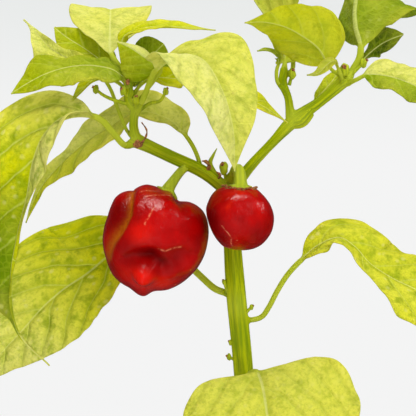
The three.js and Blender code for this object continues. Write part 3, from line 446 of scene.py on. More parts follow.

# ---------------------------------------------------------------- the fruits
# A fruit is a ball with its own half sizes. Angles are degrees, azimuth 0 is the front (-Y) and 90 the
# right (+X).
# body      how far it reaches, as a share of its half sizes, where nothing else says it
# outline   the same for angles from its top as the camera sees them, left less than 0
# bumps     rows of (azimuth, elevation, height, spread), hollows less than 0
# creases   each follows directions (azimuth, elevation). Its depths are at its start and its end, and
#           its spreads on its upper or right side and on its lower or left side
# tones     rows of (azimuth, elevation, tone, spread): painted light above 0 and painted shade below
# scratches thin pale lines, real scratches and painted highlight lines, and streak one wide golden line, as
# directions that each follows
FRUITS = {
    "fruit_large": dict(
        centre=(-35.7, -10, 238), half=(18.6, 17.5, 18.6), body=1.06,
        outline=[
            (-180, 1.075), (-175, 1.11), (-172, 1.18), (-169, 1.215), (-164, 1.21), (-159, 1.175),
            (-153, 1.14), (-143, 1.15), (-134, 1.15), (-124, 1.12), (-113, 1.08), (-98, 1.07), (-81, 1.05),
            (-66, 1.05), (-54, 1.1), (-45, 1.15), (-37, 1.15), (-30, 1.115), (-24, 1.06), (-18, 1.085),
            (-10, 1.09), (0, 1.03), (8, 0.99), (19, 0.995), (28, 0.91), (32, 0.865), (36, 0.9), (43, 0.985),
            (52, 1.055), (61, 1.1), (70, 1.105), (82, 1.085), (97, 1.055), (116, 1.048), (139, 1.048),
            (153, 1.065), (168, 1.085), (180, 1.075),
        ],
        bumps=[
            (6, 27, 0.05, 10), (20, 34, 0.04, 18), (-12, -38, 0.34, 10.5), (24, -41, 0.07, 10),
            (-16, -54, 0.08, 12), (-34, -44, 0.05, 15), (50, 24, 0.06, 14), (54, -34, 0.05, 14),
            (-4, -24, -0.25, 10.5), (12, -32, -0.14, 9), (-17, -22, -0.12, 9), (27, -22, -0.09, 10),
            (-30, -22, -0.05, 7), (-14, 4, 0.04, 18), (150, 30, 0.08, 30), (-150, 20, 0.07, 30),
            (175, -45, 0.05, 34), (12, 86, -0.1, 22),
        ],
        creases=[
            dict(
                along=[(-66, 62), (-41, 42), (-34, 26), (-37, 14), (-42, 6), (-52, -4), (-65, -20)],
                depths=(0.17, 0.04), spreads=(5, 18),
            ),
            dict(along=[(64, 56), (44, 42), (38, 30), (36, 20)], depths=(0.13, 0), spreads=(8, 9)),
            dict(
                along=[
                    (-38, -21), (-28, -17), (-16, -13), (-6, -12), (5, -14), (13, -16), (23, -13.5),
                    (33, -12), (45, -16),
                ],
                depths=(0.05, 0.05), spreads=(3.5, 8),
            ),
            dict(along=[(120, 66), (125, 30), (122, -10)], depths=(0.13, 0.05), spreads=(12, 12)),
            dict(along=[(-120, 66), (-122, 30), (-135, -20)], depths=(0.13, 0.05), spreads=(12, 12)),
        ],
        painted_light_and_shade=[
            (-60, 33, -0.7, 12), (-56, 18, -0.35, 9), (-5, -21, -0.9, 11), (11, -31, -0.8, 9),
            (-17, -21, -0.4, 8), (-12, -38, 1.0, 10), (29, -24, -0.55, 11), (58, 0, -0.5, 14),
            (-14, 4, 0.8, 15), (-38, -42, 0.6, 16), (-16, -56, 0.8, 16), (24, -56, 0.7, 16),
            (-8, 60, 0.3, 14),
        ],
        scratches_and_glints=[
            [(0, 33), (-4, 26), (-8, 19), (-10, 14)],
            [(5, -12.5), (13, -15), (18, -13), (25, -10.7), (32, -10)],
            # Painted highlight lines along the top of the large fruit.
            [(-32, 60), (-20, 63), (-7, 64), (12, 67)],
            [(-15, 51), (-5, 53), (5, 53.5), (18, 54), (31, 54)],
        ],
        streak=[(-66, 62), (-38, 42), (-31, 26), (-34, 14), (-40, 5), (-51, -6), (-65, -22)],
    ),
    "fruit_small": dict(
        centre=(-4, -18, 245.5), half=(12.8, 12.6, 12), body=0.99,
        outline=[
            (-180, 1.015), (-161, 1.015), (-150, 1.02), (-141, 0.985), (-127, 0.945), (-112, 0.925),
            (-98, 0.94), (-83, 0.99), (-74, 1.035), (-62, 1.055), (-49, 1.09), (-39, 1.105), (-27, 1.065),
            (-15, 1.005), (0, 0.965), (17, 0.98), (27, 1), (39, 0.96), (54, 0.945), (72, 0.95), (89, 0.97),
            (102, 0.98), (117, 1.005), (132, 1.02), (144, 1.04), (157, 1.04), (172, 1.02), (180, 1.015),
        ],
        bumps=[
            (0, 88, -0.12, 26), (-40, -20, 0.02, 40), (120, 20, 0.03, 40), (-140, 10, 0.03, 40),
            (-24, 30, 0.035, 20), (26, 30, 0.03, 18), (4, 12, -0.025, 16), (-2, -4, -0.02, 9),
            (30, -20, 0.03, 22),
        ],
        creases=[],
        painted_light_and_shade=[
            (-62, 0, -0.9, 26), (-40, -30, -0.45, 20), (0, -4, -0.4, 12), (24, -30, -0.3, 18),
            (35, 10, 0.3, 20), (0, 52, 0.3, 22),
        ],
        scratches_and_glints=[
            [(-35, -12), (-30, -20), (-24, -28), (-20, -38), (-26, -50), (-30, -60)],
            [(-9.5, -43.5), (-8, -44.5)],
        ],
        streak=[(-150, -20), (-160, -40)],
    ),
}
# How far from the outline it still sets a fruit's form, and the angles that it is averaged over.
OUTLINE_BAND = 0.75
OUTLINE_STEPS = (-2.5, -1.2, 0, 1.2, 2.5)
# A crease is shallower near the outline, and painted dark, as shade, where it is as deep as this.
CREASE = dict(flatter=0.8, dark_depth=0.1, painted_shade=0.8)
# How wide a scratch or a painted highlight line is, and a streak on its right and, at its start and its end,
# on its left: degrees.
SCRATCH_AND_GLINT_SPREAD = 0.8
STREAK_SPREADS = (3, 4.5, 11)
# The green stalk of each fruit, from the stem to its cap, as (x, y, z, radius), the cap's radius, and
# the radius of the dry rim round it, where it has one.
FRUIT_STALKS = {
    "stalk_fruit_large": dict(
        fruit="fruit_large", cap=4.4, dry_rim=0,
        line=[
            (-22.5, -3, 265.5, 1.5), (-25.5, -5, 263.5, 1.6), (-29, -8, 259, 1.9),
            (-31, -10, 255.5, 2.6), (-31.5, -10.5, 252, 4.0),
        ],
    ),
    "stalk_fruit_small": dict(
        fruit="fruit_small", cap=4.2, dry_rim=5.9,
        line=[
            (-7, -1, 260, 1.8), (-5.5, -6, 263.5, 1.9), (-4.3, -12, 262.5, 2.2),
            (-4, -17, 258.5, 2.5), (-4, -18, 255, 3.4),
        ],
    ),
}
# A fruit's green cap: its points and blunt teeth, and how high it stands off the fruit.
CAP = dict(
    points=80, rings=14, start=0.12, teeth=5, tooth=0.10, sway=0.04, lift=0.35, dome=0.9, edge=0.22,
    under_edge=-0.1, under=-0.5,
)
# The ragged dry rim round a cap: how it sways, how high it lies on the fruit, and how thick it is.
DRY_RIM = dict(points=140, wobble=0.07, fray=0.05, lift=0.3, wave=0.35, radius=0.34, uneven=0.18)


# ---------------------------------------------------------------- helpers for shapes
def smooth(t):
    t = np.clip(t, 0, 1)
    return t * t * (3 - 2 * t)


def lerp(a, b, t):
    return a + (b - a) * t


def hump(off, spread):
    """A soft round rise: 1 at its middle, and almost nothing at twice its spread."""
    return np.exp(-((off / spread) ** 2))


def circle(count):
    """Angles round a full turn."""
    return np.linspace(0, 2 * math.pi, count, endpoint=False)


def read_smoothly(rows, at):
    """The columns of a table of rows at places along its first column, smooth between the rows."""
    rows = np.array(rows, float)
    k = np.clip(np.searchsorted(rows[:, 0], at, side="right") - 1, 0, len(rows) - 2)
    t = smooth((at - rows[k, 0]) / (rows[k + 1, 0] - rows[k, 0]))
    return lerp(rows[k, 1:], rows[k + 1, 1:], t[:, None])


def unit(vectors):
    return vectors / np.linalg.norm(vectors, axis=-1, keepdims=True)


class Line:
    """A smooth line through points, walked by its length. Columns past x, y, z ride along."""

    SPAN = 24
    REACH = 0.35

    def __init__(self, points):
        p = np.array(points, float)
        q = np.vstack([2 * p[0] - p[1], p, 2 * p[-1] - p[-2]])
        t = np.linspace(0, 1, self.SPAN, endpoint=False)[:, None]
        spans = []
        for a, b, c, d in zip(q, q[1:], q[2:], q[3:]):
            k0, k1, k2 = [math.sqrt(np.linalg.norm((v - u)[:3])) for u, v in ((a, b), (b, c), (c, d))]
            out = ((b - a) / k0 - (c - a) / (k0 + k1) + (c - b) / k1) * k1
            back = ((c - b) / k1 - (d - b) / (k1 + k2) + (d - c) / k2) * k1
            bend = (3 * (c - b) - 2 * out - back) * t**2
            spans.append(b + out * t + bend + (2 * (b - c) + out + back) * t**3)
        self.dense = np.vstack(spans + [p[-1:]])
        steps = np.linalg.norm(np.diff(self.dense[:, :3], axis=0), axis=1)
        self.places = np.concatenate([[0], np.cumsum(steps)])
        self.length = self.places[-1]

    def at(self, place):
        return np.stack([np.interp(place, self.places, c) for c in self.dense.T], axis=-1)

    def along(self, place):
        low = np.clip(np.asarray(place) - self.REACH, 0, self.length)
        high = np.clip(np.asarray(place) + self.REACH, 0, self.length)
        return unit(self.at(high)[..., :3] - self.at(low)[..., :3])


def skin(rings):
    """Points and faces of a closed body through rings, an array of (ring, point, xyz)."""
    count, around = rings.shape[:2]
    points = np.vstack([rings.reshape(-1, 3), rings[0].mean(0), rings[-1].mean(0)])
    j = np.arange(count - 1)[:, None] * around
    i = np.arange(around)[None, :]
    k = (i + 1) % around
    quads = np.stack([j + i, j + k, j + around + k, j + around + i], axis=-1).reshape(-1, 4)
    faces = quads.tolist()
    first, last = count * around, count * around + 1
    end = (count - 1) * around
    for a in range(around):
        b = (a + 1) % around
        faces.append([first, b, a])
        faces.append([last, end + a, end + b])
    # The signed volume says whether the faces look out of the body.
    corners = np.array([face if len(face) == 4 else face + face[-1:] for face in faces])
    a, b, c, d = (points[corners[:, k]] for k in range(4))
    volume = np.einsum("ij,ij->", a, np.cross(b, c)) + np.einsum("ij,ij->", a, np.cross(c, d))
    if volume < 0:
        faces = [face[::-1] for face in faces]
    return points, faces


def tube(line, sides=16, step=0.8, shape=None):
    """Points and faces of a rod along (x, y, z, radius) points. shape(angle, place) scales its radius."""
    path = Line(line)
    places = np.linspace(0, path.length, max(3, round(path.length / step)))
    middle, along = path.at(places), path.along(places)
    side = np.zeros_like(along)
    last = np.array([0.0, 1.0, 0.0])
    for k, way in enumerate(along):
        last = unit(last - way * np.dot(last, way))
        side[k] = last
    across = np.cross(along, side)
    angle = circle(sides)
    radius = middle[:, 3, None] * np.ones(sides)
    if shape:
        radius = radius * shape(angle[None, :], places[:, None])
    out = np.cos(angle)[None, :, None] * side[:, None] + np.sin(angle)[None, :, None] * across[:, None]
    return skin(middle[:, None, :3] + out * radius[..., None])


def ball(centre, radius, stretch=(1, 1, 1), level=3, lumps=0.0, seed=0):
    """Points and faces of a slightly uneven ball."""
    form = bmesh.new()
    bmesh.ops.create_icosphere(form, subdivisions=level, radius=1)
    points = np.array([v.co for v in form.verts])
    faces = [[v.index for v in f.verts] for f in form.faces]
    form.free()
    if lumps:
        rises = [noise.noise(Vector(p * 1.7) + Vector((seed * 3.1, 0, 0))) for p in points]
        points = points * (1 + lumps * np.array(rises))[:, None]
    return points * radius * np.array(stretch) + np.array(centre), faces


def joined(parts):
    """Points and faces of several bodies in one mesh."""
    points, faces, start = [], [], 0
    for p, f in parts:
        points.append(p)
        faces += [[start + i for i in face] for face in f]
        start += len(p)
    return np.vstack(points), faces


def make_mesh(name, points, faces):
    mesh = bpy.data.meshes.new(name)
    mesh.from_pydata((np.asarray(points) * MM).tolist(), [], faces)
    mesh.update()
    piece = bpy.data.objects.new(name, mesh)
    bpy.context.scene.collection.objects.link(piece)
    return piece


def add_attribute(piece, name, values):
    values = np.asarray(values, np.float32)
    kind, key = ("FLOAT_VECTOR", "vector") if values.ndim == 2 else ("FLOAT", "value")
    layer = piece.data.attributes.new(name, kind, "POINT")
    layer.data.foreach_set(key, values.ravel())


def dress(piece, material, replaced=()):
    """Gives a piece its material, and sets it on the plant's one body."""
    piece.data.materials.clear()
    piece.data.materials.append(material)
    piece.data.shade_smooth()
    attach(piece, "root")
    if replaced:
        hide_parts(*replaced)


def baked(piece, *modifiers):
    """Applies modifiers, each a (kind, settings) pair, to a piece's own mesh."""
    for kind, settings in modifiers:
        modifier = piece.modifiers.new(kind.lower(), kind)
        for key, value in settings.items():
            setattr(modifier, key, value)
    bpy.context.view_layer.update()
    shaped = piece.evaluated_get(bpy.context.evaluated_depsgraph_get())
    mesh = bpy.data.meshes.new_from_object(shaped)
    piece.modifiers.clear()
    old = piece.data
    piece.data = mesh
    bpy.data.meshes.remove(old)
    mesh.name = piece.name
    return piece


def points_of(piece):
    co = np.zeros(len(piece.data.vertices) * 3, np.float32)
    piece.data.vertices.foreach_get("co", co)
    return co.reshape(-1, 3) / MM


# ---------------------------------------------------------------- helpers for materials
def paint(red, green, blue):
    """A colour from its screen values, 0 to 255."""
    shares = [c / 255 for c in (red, green, blue)]
    return tuple(s / 12.92 if s <= 0.04045 else ((s + 0.055) / 1.055) ** 2.4 for s in shares) + (1,)


class Shader:
    """The nodes of a material or of the world, one call to a node."""

    def __init__(self, owner):
        self.owner = owner
        owner.use_nodes = True
        self.tree = owner.node_tree
        self.tree.nodes.clear()

    def node(self, kind, inputs=None, **settings):
        node = self.tree.nodes.new(kind)
        for key, value in settings.items():
            setattr(node, key, value)
        for socket, value in (inputs or {}).items():
            if isinstance(value, bpy.types.NodeSocket):
                self.tree.links.new(value, node.inputs[socket])
            else:
                node.inputs[socket].default_value = value
        return node

    def attribute(self, name):
        return self.node("ShaderNodeAttribute", attribute_name=name, attribute_type="GEOMETRY").outputs

    def split(self, vector):
        return self.node("ShaderNodeSeparateXYZ", {0: vector}).outputs

    def parts(self, name):
        """The three numbers that a mesh carries under a name."""
        return self.split(self.attribute(name)["Vector"])

    def join(self, x, y, z):
        return self.node("ShaderNodeCombineXYZ", {0: x, 1: y, 2: z}).outputs[0]

    def math(self, operation, *values):
        return self.node("ShaderNodeMath", dict(enumerate(values)), operation=operation).outputs[0]

    def sum(self, a, b):
        return self.math("ADD", a, b)

    def times(self, first, *others):
        for other in others:
            first = self.math("MULTIPLY", first, other)
        return first

    def less(self, value):
        """What a value is short of 1."""
        return self.math("SUBTRACT", 1.0, value)

    def scaled(self, vector, scale):
        return self.node("ShaderNodeVectorMath", {0: vector, 1: scale}, operation="MULTIPLY").outputs[0]

    def fade(self, value, start, end, low=0.0, high=1.0):
        """From low to high, softly, as a value goes from start to end."""
        inputs = {0: value, 1: start, 2: end, 3: low, 4: high}
        return self.node("ShaderNodeMapRange", inputs, interpolation_type="SMOOTHSTEP").outputs[0]

    def near(self, value, start, end):
        """1 while a value is under start, and 0 past end."""
        return self.less(self.fade(value, start, end))

    def mix(self, share, a, b):
        return self.node("ShaderNodeMix", {0: share, 6: a, 7: b}, data_type="RGBA").outputs[2]

    def over(self, base, colour, share, most=None):
        """A paint laid over a base, by a share of up to most."""
        if most is not None:
            share = self.times(share, most)
        return self.mix(share, base, paint(*colour))

    def noise(self, vector, scale, detail=3.0, roughness=0.5):
        inputs = {"Vector": vector, "Scale": scale, "Detail": detail, "Roughness": roughness}
        return self.node("ShaderNodeTexNoise", inputs).outputs["Fac"]

    def cells(self, vector, scale, feature="F1"):
        inputs = {"Vector": vector, "Scale": scale}
        return self.node("ShaderNodeTexVoronoi", inputs, feature=feature).outputs["Distance"]

    def bump(self, height, strength, distance):
        inputs = {"Height": height, "Strength": strength, "Distance": distance}
        return self.node("ShaderNodeBump", inputs).outputs[0]

    def millimetres(self):
        place = self.node("ShaderNodeTexCoord").outputs["Object"]
        return self.scaled(place, (1 / MM, 1 / MM, 1 / MM))

    def principled(self, base, roughness, **inputs):
        named = {key.replace("_", " ").title().replace("Ior", "IOR"): value for key, value in inputs.items()}
        named.update({"Base Color": base, "Roughness": roughness})
        return self.node("ShaderNodeBsdfPrincipled", named).outputs[0]

    def blend(self, share, a, b):
        return self.node("ShaderNodeMixShader", {0: share, 1: a, 2: b}).outputs[0]

    def done(self, surface, output="ShaderNodeOutputMaterial"):
        self.node(output, {"Surface": surface})
        return self.owner


def shader(name):
    return Shader(bpy.data.materials.new(name))


# ---------------------------------------------------------------- materials
def leaf_material():
    s = shader("leaf")
    flat = s.attribute("leaf_flat")["Vector"]
    x, y, upper = s.split(flat)
    phase, spacing, reach = s.parts("leaf_veins")
    # How pale the blade is, which also holds painted light and shade, how mottled, and how yellow at its
    # edges.
    pale_and_lit, mottle, yellow = s.parts("leaf_tone")
    rib_off, blade, seed = s.parts("leaf_part")
    veined = s.attribute("leaf_veined")["Fac"]
    place = s.join(x, y, seed)

    # Distance in mm to the nearest side vein, and the masks of its pale core and its green flanks.
    wander = s.math("MULTIPLY_ADD", s.noise(place, 0.11, 2.0), 0.30, -0.15)
    fraction = s.math("SUBTRACT", s.math("FRACT", s.sum(s.sum(phase, wander), 0.5)), 0.5)
    off = s.times(s.math("ABSOLUTE", fraction), spacing)
    core = s.near(s.math("DIVIDE", off, s.fade(reach, 0.0, 1.0, 0.85, 0.35)), 0.1, 1.0)
    core = s.times(core, s.fade(pale_and_lit, -0.4, 0.6, 0.1, 1.0), veined)
    flank = s.times(s.near(off, 0.3, 3.0), veined)
    rib = s.near(rib_off, 0.5, 1.0)
    from_rib = s.math("ABSOLUTE", x)
    rib_flank = s.near(from_rib, 0.4, 3.2)

    # The fine net between them, the blotches, and the pale dots.
    shift = s.join(wander, s.times(wander, 5.0), 0.0)
    net_place = s.node("ShaderNodeVectorMath", {0: place, 1: shift}, operation="ADD").outputs[0]
    net = s.cells(net_place, 0.36, "DISTANCE_TO_EDGE")
    fine = s.cells(net_place, 1.1, "DISTANCE_TO_EDGE")
    blotch = s.fade(s.noise(place, 0.22, 3.0, 0.6), 0.45, 0.70)
    patch = s.fade(s.noise(place, 0.055, 2.0), 0.35, 0.68)
    grain = s.fade(s.noise(place, 0.9, 4.0, 0.7), 0.46, 0.72, 0.0, 0.42)
    dot = s.near(s.cells(net_place, 0.29), 0.12, 0.36)
    dots = s.times(dot, s.fade(s.noise(place, 0.12, 2.0), 0.22, 0.52), mottle)
    dots = s.times(dots, s.times(s.less(flank), s.less(rib_flank)))

    # Darker green to pale yellow: partly the leaf's own colour, partly painted light on lit places and
    # painted shade on shaded ones.
    base = s.mix(s.fade(pale_and_lit, -0.5, 0.0), paint(36, 66, 0), paint(100, 132, 0))
    base = s.over(base, (214, 212, 2), s.fade(pale_and_lit, 0.0, 0.5))
    base = s.over(base, (226, 225, 140), s.fade(pale_and_lit, 0.5, 1.0))
    base = s.over(base, (228, 224, 84), patch, 0.42)
    base = s.over(base, (118, 146, 0), blotch, s.math("MULTIPLY_ADD", mottle, 0.42, 0.28))
    base = s.over(base, (128, 152, 0), grain)
    base = s.over(base, (226, 222, 140), dots, 0.60)
    flanks = s.times(s.math("MAXIMUM", flank, rib_flank), s.fade(pale_and_lit, 0.5, 1.0, 1.0, 0.45))
    base = s.over(base, (142, 167, 0), flanks, 0.32)
    base = s.over(base, (214, 220, 60), s.near(net, 0.01, 0.16), 0.14)
    base = s.over(base, (212, 218, 100), core, 0.48)
    base = s.over(base, (222, 224, 140), rib, 0.65)

    # Yellow edges, small brown specks, a greyer under side, and the streaked bare stalk.
    edge = s.times(s.fade(reach, 0.62, 1.0), yellow)
    base = s.over(base, (226, 208, 60), edge, s.fade(patch, 0.0, 1.0, 0.2, 0.7))
    rare = s.math("GREATER_THAN", s.noise(place, 0.05, 1.0), 0.56)
    speck = s.times(s.near(s.cells(place, 0.16), 0.05, 0.10), rare, mottle)
    base = s.over(base, (120, 84, 40), speck, 0.7)
    under = s.times(s.fade(upper, -0.5, 0.5, 1.0, 0.0), 0.3)
    base = s.over(base, (190, 200, 50), under, s.fade(pale_and_lit, -0.5, 0.4))
    stalk = s.mix(s.noise(s.scaled(flat, (1.2, 0.08, 1.0)), 1.0), paint(152, 170, 14), paint(206, 210, 76))
    base = s.mix(s.fade(blade, 0.2, 0.9), stalk, base)

    relief = s.sum(s.times(s.fade(net, 0.0, 0.25), 0.6), s.fade(fine, 0.0, 0.2, 0.0, 0.25))
    relief = s.times(s.math("SUBTRACT", relief, s.times(core, 0.5)), blade)
    pillow = s.times(s.fade(off, 0.0, 2.6), s.fade(from_rib, 0.0, 3.0))
    relief = s.times(s.sum(relief, s.times(pillow, 1.3, blade)), s.fade(upper, -0.5, 0.5, -1.0, 1.0))
    normal = s.bump(relief, 0.7, 0.5 * MM)
    gloss = s.fade(s.noise(place, 0.3), 0.2, 0.8, 0.50, 0.66)
    surface = s.principled(base, gloss, normal=normal, specular_ior_level=0.06)

    # The light that comes through the blade.
    sunlit = s.mix(s.fade(pale_and_lit, 0.4, 1.0), paint(214, 220, 6), paint(230, 228, 120))
    through = s.mix(s.fade(pale_and_lit, -0.5, 0.5, 0.02, 0.45), base, sunlit)
    glow = s.node("ShaderNodeBsdfTranslucent", {"Color": through, "Normal": normal}).outputs[0]
    return s.done(s.blend(0.40, surface, glow))


def stem_material():
    s = shader("stem")
    around, along, node = s.parts("stem_flow")
    place = s.millimetres()
    streak = s.noise(s.join(s.times(around, 1.1), s.times(along, 0.05), 0.0), 1.0, 4.0, 0.6)
    base = s.mix(s.fade(streak, 0.35, 0.65), paint(108, 127, 0), paint(160, 168, 0))
    base = s.over(base, (112, 134, 4), s.fade(s.noise(place, 0.09), 0.4, 0.75, 0.0, 0.5))
    base = s.over(base, (206, 206, 76), s.fade(streak, 0.66, 0.80), 0.35)
    base = s.over(base, (180, 188, 56), node, 0.45)
    rare = s.math("GREATER_THAN", s.noise(place, 0.4, 1.0), 0.60)
    freckle = s.times(s.near(s.cells(place, 0.9), 0.08, 0.17), rare)
    base = s.over(base, (88, 96, 24), freckle, 0.35)
    low = s.near(s.split(place)[2], 104.0, 150.0)
    base = s.over(base, (142, 128, 78), low, s.fade(streak, 0.35, 0.6, 0.35, 0.9))
    normal = s.bump(s.sum(s.times(streak, 0.7), s.times(s.noise(place, 1.6), 0.3)), 0.4, 0.3 * MM)
    gloss = s.fade(streak, 0.2, 0.8, 0.52, 0.36)
    return s.done(s.principled(base, gloss, normal=normal, specular_ior_level=0.09))


def fruit_material():
    s = shader("fruit")
    # fruit_form holds the painted light and shade, the golden streak, and the pale lines.
    painted_light_level, streak, scratch_and_glint = s.parts("fruit_form")
    place = s.millimetres()
    broad = s.noise(place, 0.07, 3.0, 0.55)
    fine = s.noise(place, 0.9, 4.0, 0.6)
    shade = s.fade(painted_light_level, -1.0, 0.0, 1.0, 0.0)
    base = s.mix(s.fade(broad, 0.35, 0.68), paint(138, 0, 0), paint(170, 0, 0))
    base = s.over(base, (222, 40, 0), s.fade(broad, 0.62, 0.80), 0.5)
    # Painted light: a brighter red where the fruit is lit. Painted shade: a deep red in its hollows, its
    # creases and on its shaded sides.
    base = s.over(base, (206, 16, 0), s.fade(painted_light_level, 0.0, 1.0, 0.0, 0.8))
    base = s.over(base, (84, 0, 1), shade, 0.85)
    base = s.over(base, (168, 90, 4), streak, s.fade(fine, 0.3, 0.6, 0.4, 0.8))
    base = s.over(base, (128, 0, 2), s.fade(fine, 0.55, 0.8, 0.0, 0.22))
    # Pale lines: real scratches, and painted highlight lines.
    base = s.over(base, (236, 150, 110), scratch_and_glint, s.fade(fine, 0.36, 0.62, 0.0, 0.7))
    rare = s.math("GREATER_THAN", s.noise(place, 0.13, 1.0), 0.60)
    base = s.over(base, (214, 150, 40), s.near(s.cells(place, 0.20), 0.035, 0.07), rare)
    wrinkle = s.noise(s.scaled(place, (0.5, 0.5, 0.16)), 1.0, 4.0, 0.6)
    relief = s.sum(s.times(s.noise(place, 0.2), 0.9), s.times(wrinkle, 0.45))
    normal = s.bump(relief, 0.5, 1.2 * MM)
    # The coat is thinner where shade is painted, so highlights fade there too.
    return s.done(s.principled(
        base, s.fade(fine, 0.3, 0.7, 0.3, 0.42), normal=normal, specular_ior_level=0.06,
        coat_weight=s.fade(shade, 0.3, 1.0, 1.0, 0.35), coat_roughness=0.17, coat_normal=normal,
        subsurface_weight=0.1, subsurface_radius=(1.0, 0.12, 0.05), subsurface_scale=1.4 * MM,
    ))


def dry_material():
    s = shader("dry_bits")
    grain = s.noise(s.millimetres(), 1.3, 5.0, 0.65)
    base = s.mix(s.fade(grain, 0.35, 0.65), paint(84, 44, 20), paint(176, 116, 58))
    return s.done(s.principled(base, 0.85, normal=s.bump(grain, 0.8, 0.5 * MM)))


def clay_material():
    s = shader("clay")
    place = s.millimetres()
    z = s.split(place)[2]
    grit = s.noise(place, 1.1, 6.0, 0.7)
    rings = s.noise(s.scaled(place, (0.006, 0.006, 0.55)), 1.0, 4.0, 0.55)
    broad = s.noise(place, 0.022, 4.0, 0.6)
    base = s.mix(s.fade(broad, 0.3, 0.7), paint(176, 98, 62), paint(200, 124, 84))
    base = s.over(base, (150, 80, 50), s.fade(grit, 0.35, 0.75, 0.0, 0.4))
    base = s.over(base, (216, 148, 108), s.fade(rings, 0.4, 0.7, 0.0, 0.22))
    # Salt gathers towards the rim and at the foot.
    high_and_low = s.sum(s.fade(z, 30.0, 112.0, 0.0, 0.17), s.fade(z, 0.0, 16.0, 0.10, 0.0))
    salt = s.sum(s.noise(place, 0.045, 5.0, 0.7), high_and_low)
    base = s.over(base, (224, 206, 188), s.fade(salt, 0.58, 0.80, 0.0, 0.62))
    base = s.over(base, (232, 190, 158), s.fade(s.noise(place, 2.6, 2.0), 0.68, 0.80, 0.0, 0.35))
    normal = s.bump(s.sum(s.times(grit, 0.5), s.times(rings, 0.8)), 0.5, 0.7 * MM)
    return s.done(s.principled(base, s.fade(grit, 0.2, 0.8, 0.78, 0.95), normal=normal))


def soil_material():
    s = shader("soil")
    place = s.millimetres()
    grit = s.noise(place, 0.9, 6.0, 0.7)
    fibre = s.noise(s.scaled(place, (0.25, 1.4, 1.4)), 1.0, 4.0, 0.6)
    broad = s.noise(place, 0.08, 4.0, 0.6)
    base = s.mix(s.fade(broad, 0.3, 0.7), paint(40, 27, 19), paint(70, 49, 34))
    base = s.over(base, (104, 76, 52), s.fade(grit, 0.5, 0.78, 0.0, 0.6))
    base = s.over(base, (132, 98, 62), s.fade(fibre, 0.62, 0.74, 0.0, 0.5))
    return s.done(s.principled(base, 0.95, normal=s.bump(grit, 0.9, 1.2 * MM)))


def grit_material():
    s = shader("perlite")
    grain = s.noise(s.millimetres(), 1.5, 5.0, 0.6)
    base = s.mix(grain, paint(206, 200, 190), paint(244, 242, 236))
    return s.done(s.principled(base, 0.9, normal=s.bump(grain, 0.7, 0.4 * MM)))


LEAF = leaf_material()
STEM = stem_material()
FRUIT = fruit_material()
DRY = dry_material()
CLAY = clay_material()
EARTH = soil_material()
GRIT = grit_material()


# ---------------------------------------------------------------- leaves
def leaf_outline(u, broad, tail):
    power = tail * broad / (1 - broad)
    return (u**power * (1 - u) ** tail) / (broad**power * (1 - broad) ** tail)


def stalk_radius(leaf):
    slim = np.clip(sum(leaf["halves"]) / STALK["full_width"], STALK["slimmest"], STALK["stoutest"])
    return STALK["radius"] * float(slim)


def leaf_places(leaf, blade):
    """Places along a leaf's line: even along its stalk, and closer at both ends of its blade."""
    rings = int(np.clip(round(blade / BLADE["ring_step"]), *BLADE["ring_limits"]))
    share = np.linspace(0, 1, rings + 1)
    share = lerp(share, 0.5 - 0.5 * np.cos(math.pi * share), 0.5)
    stalk = np.arange(0, leaf["stalk"], BLADE["stalk_step"])
    return np.concatenate([stalk, leaf["stalk"] + BLADE["end"] * blade * share])


def blade_form(leaf, u, s, hand, seed):
    """How wide, how far out, how high and how tilted a blade is, for places along and across it."""
    halves = np.array(leaf["halves"], float)[hand]
    trim = read_smoothly(leaf["trim"], u[:, 0])[:, hand[0]]
    half = np.maximum(halves * trim * leaf_outline(u, leaf["broad"], leaf["tail"]), BLADE["tip_width"] / 2)
    low_lift = np.array(leaf["lift"], float)[hand]
    tip_lift = np.array(leaf.get("tip_lift", leaf["lift"]), float)[hand]
    lift = np.radians(lerp(low_lift, tip_lift, u))
    curl = math.radians(leaf["curl"]) or 1e-6
    angle = lift + curl * s
    side = half * (np.sin(angle) - np.sin(lift)) / curl
    rise = half * (np.cos(lift) - np.cos(angle)) / curl
    # Waves along the edges, and finer ripples on them.
    fade = smooth(BLADE["wave_start"] * u) * smooth(BLADE["wave_end"] * (1 - u))
    turn = 2 * math.pi * leaf["waves"] * u + BLADE["wave_shift"] * hand
    rise = rise + leaf["wave"] * fade * s**2 * np.sin(turn)
    ripple = BLADE["ripple"] * np.sin(BLADE["ripple_pace"] * turn + seed)
    rise = rise + ripple * fade * s**3 * np.minimum(half / BLADE["ripple_width"], 1)
    return half, side, rise, angle


def leaf_veins(leaf, u, blade, s, half, hand):
    """The side veins' spacing, their count at each point, and how high the blade swells round them."""
    across = s * half
    spacing = blade / np.clip(round(blade / VEINS["gap"]), *VEINS["limits"])
    slope = VEINS["slope"] * across + VEINS["sweep"] * across**2
    # The right half's veins lie half a step off the left half's.
    phase = (u * blade - slope) / spacing + 0.5 * hand + 0.25
    off = np.abs((phase + 0.5) % 1 - 0.5) * spacing * VEINS["lean"]
    swell = (1 - hump(off, VEINS["flank"])) * (1 - hump(across, VEINS["rib_flank"]))
    big = np.minimum(half / VEINS["full_width"], 1)
    height = VEINS["quilt"] * leaf["veined"] * big * swell * (1 - VEINS["edge_loss"] * s**2)
    height = height - VEINS["groove"] * big * hump(across, VEINS["groove_width"])
    return spacing, phase, height


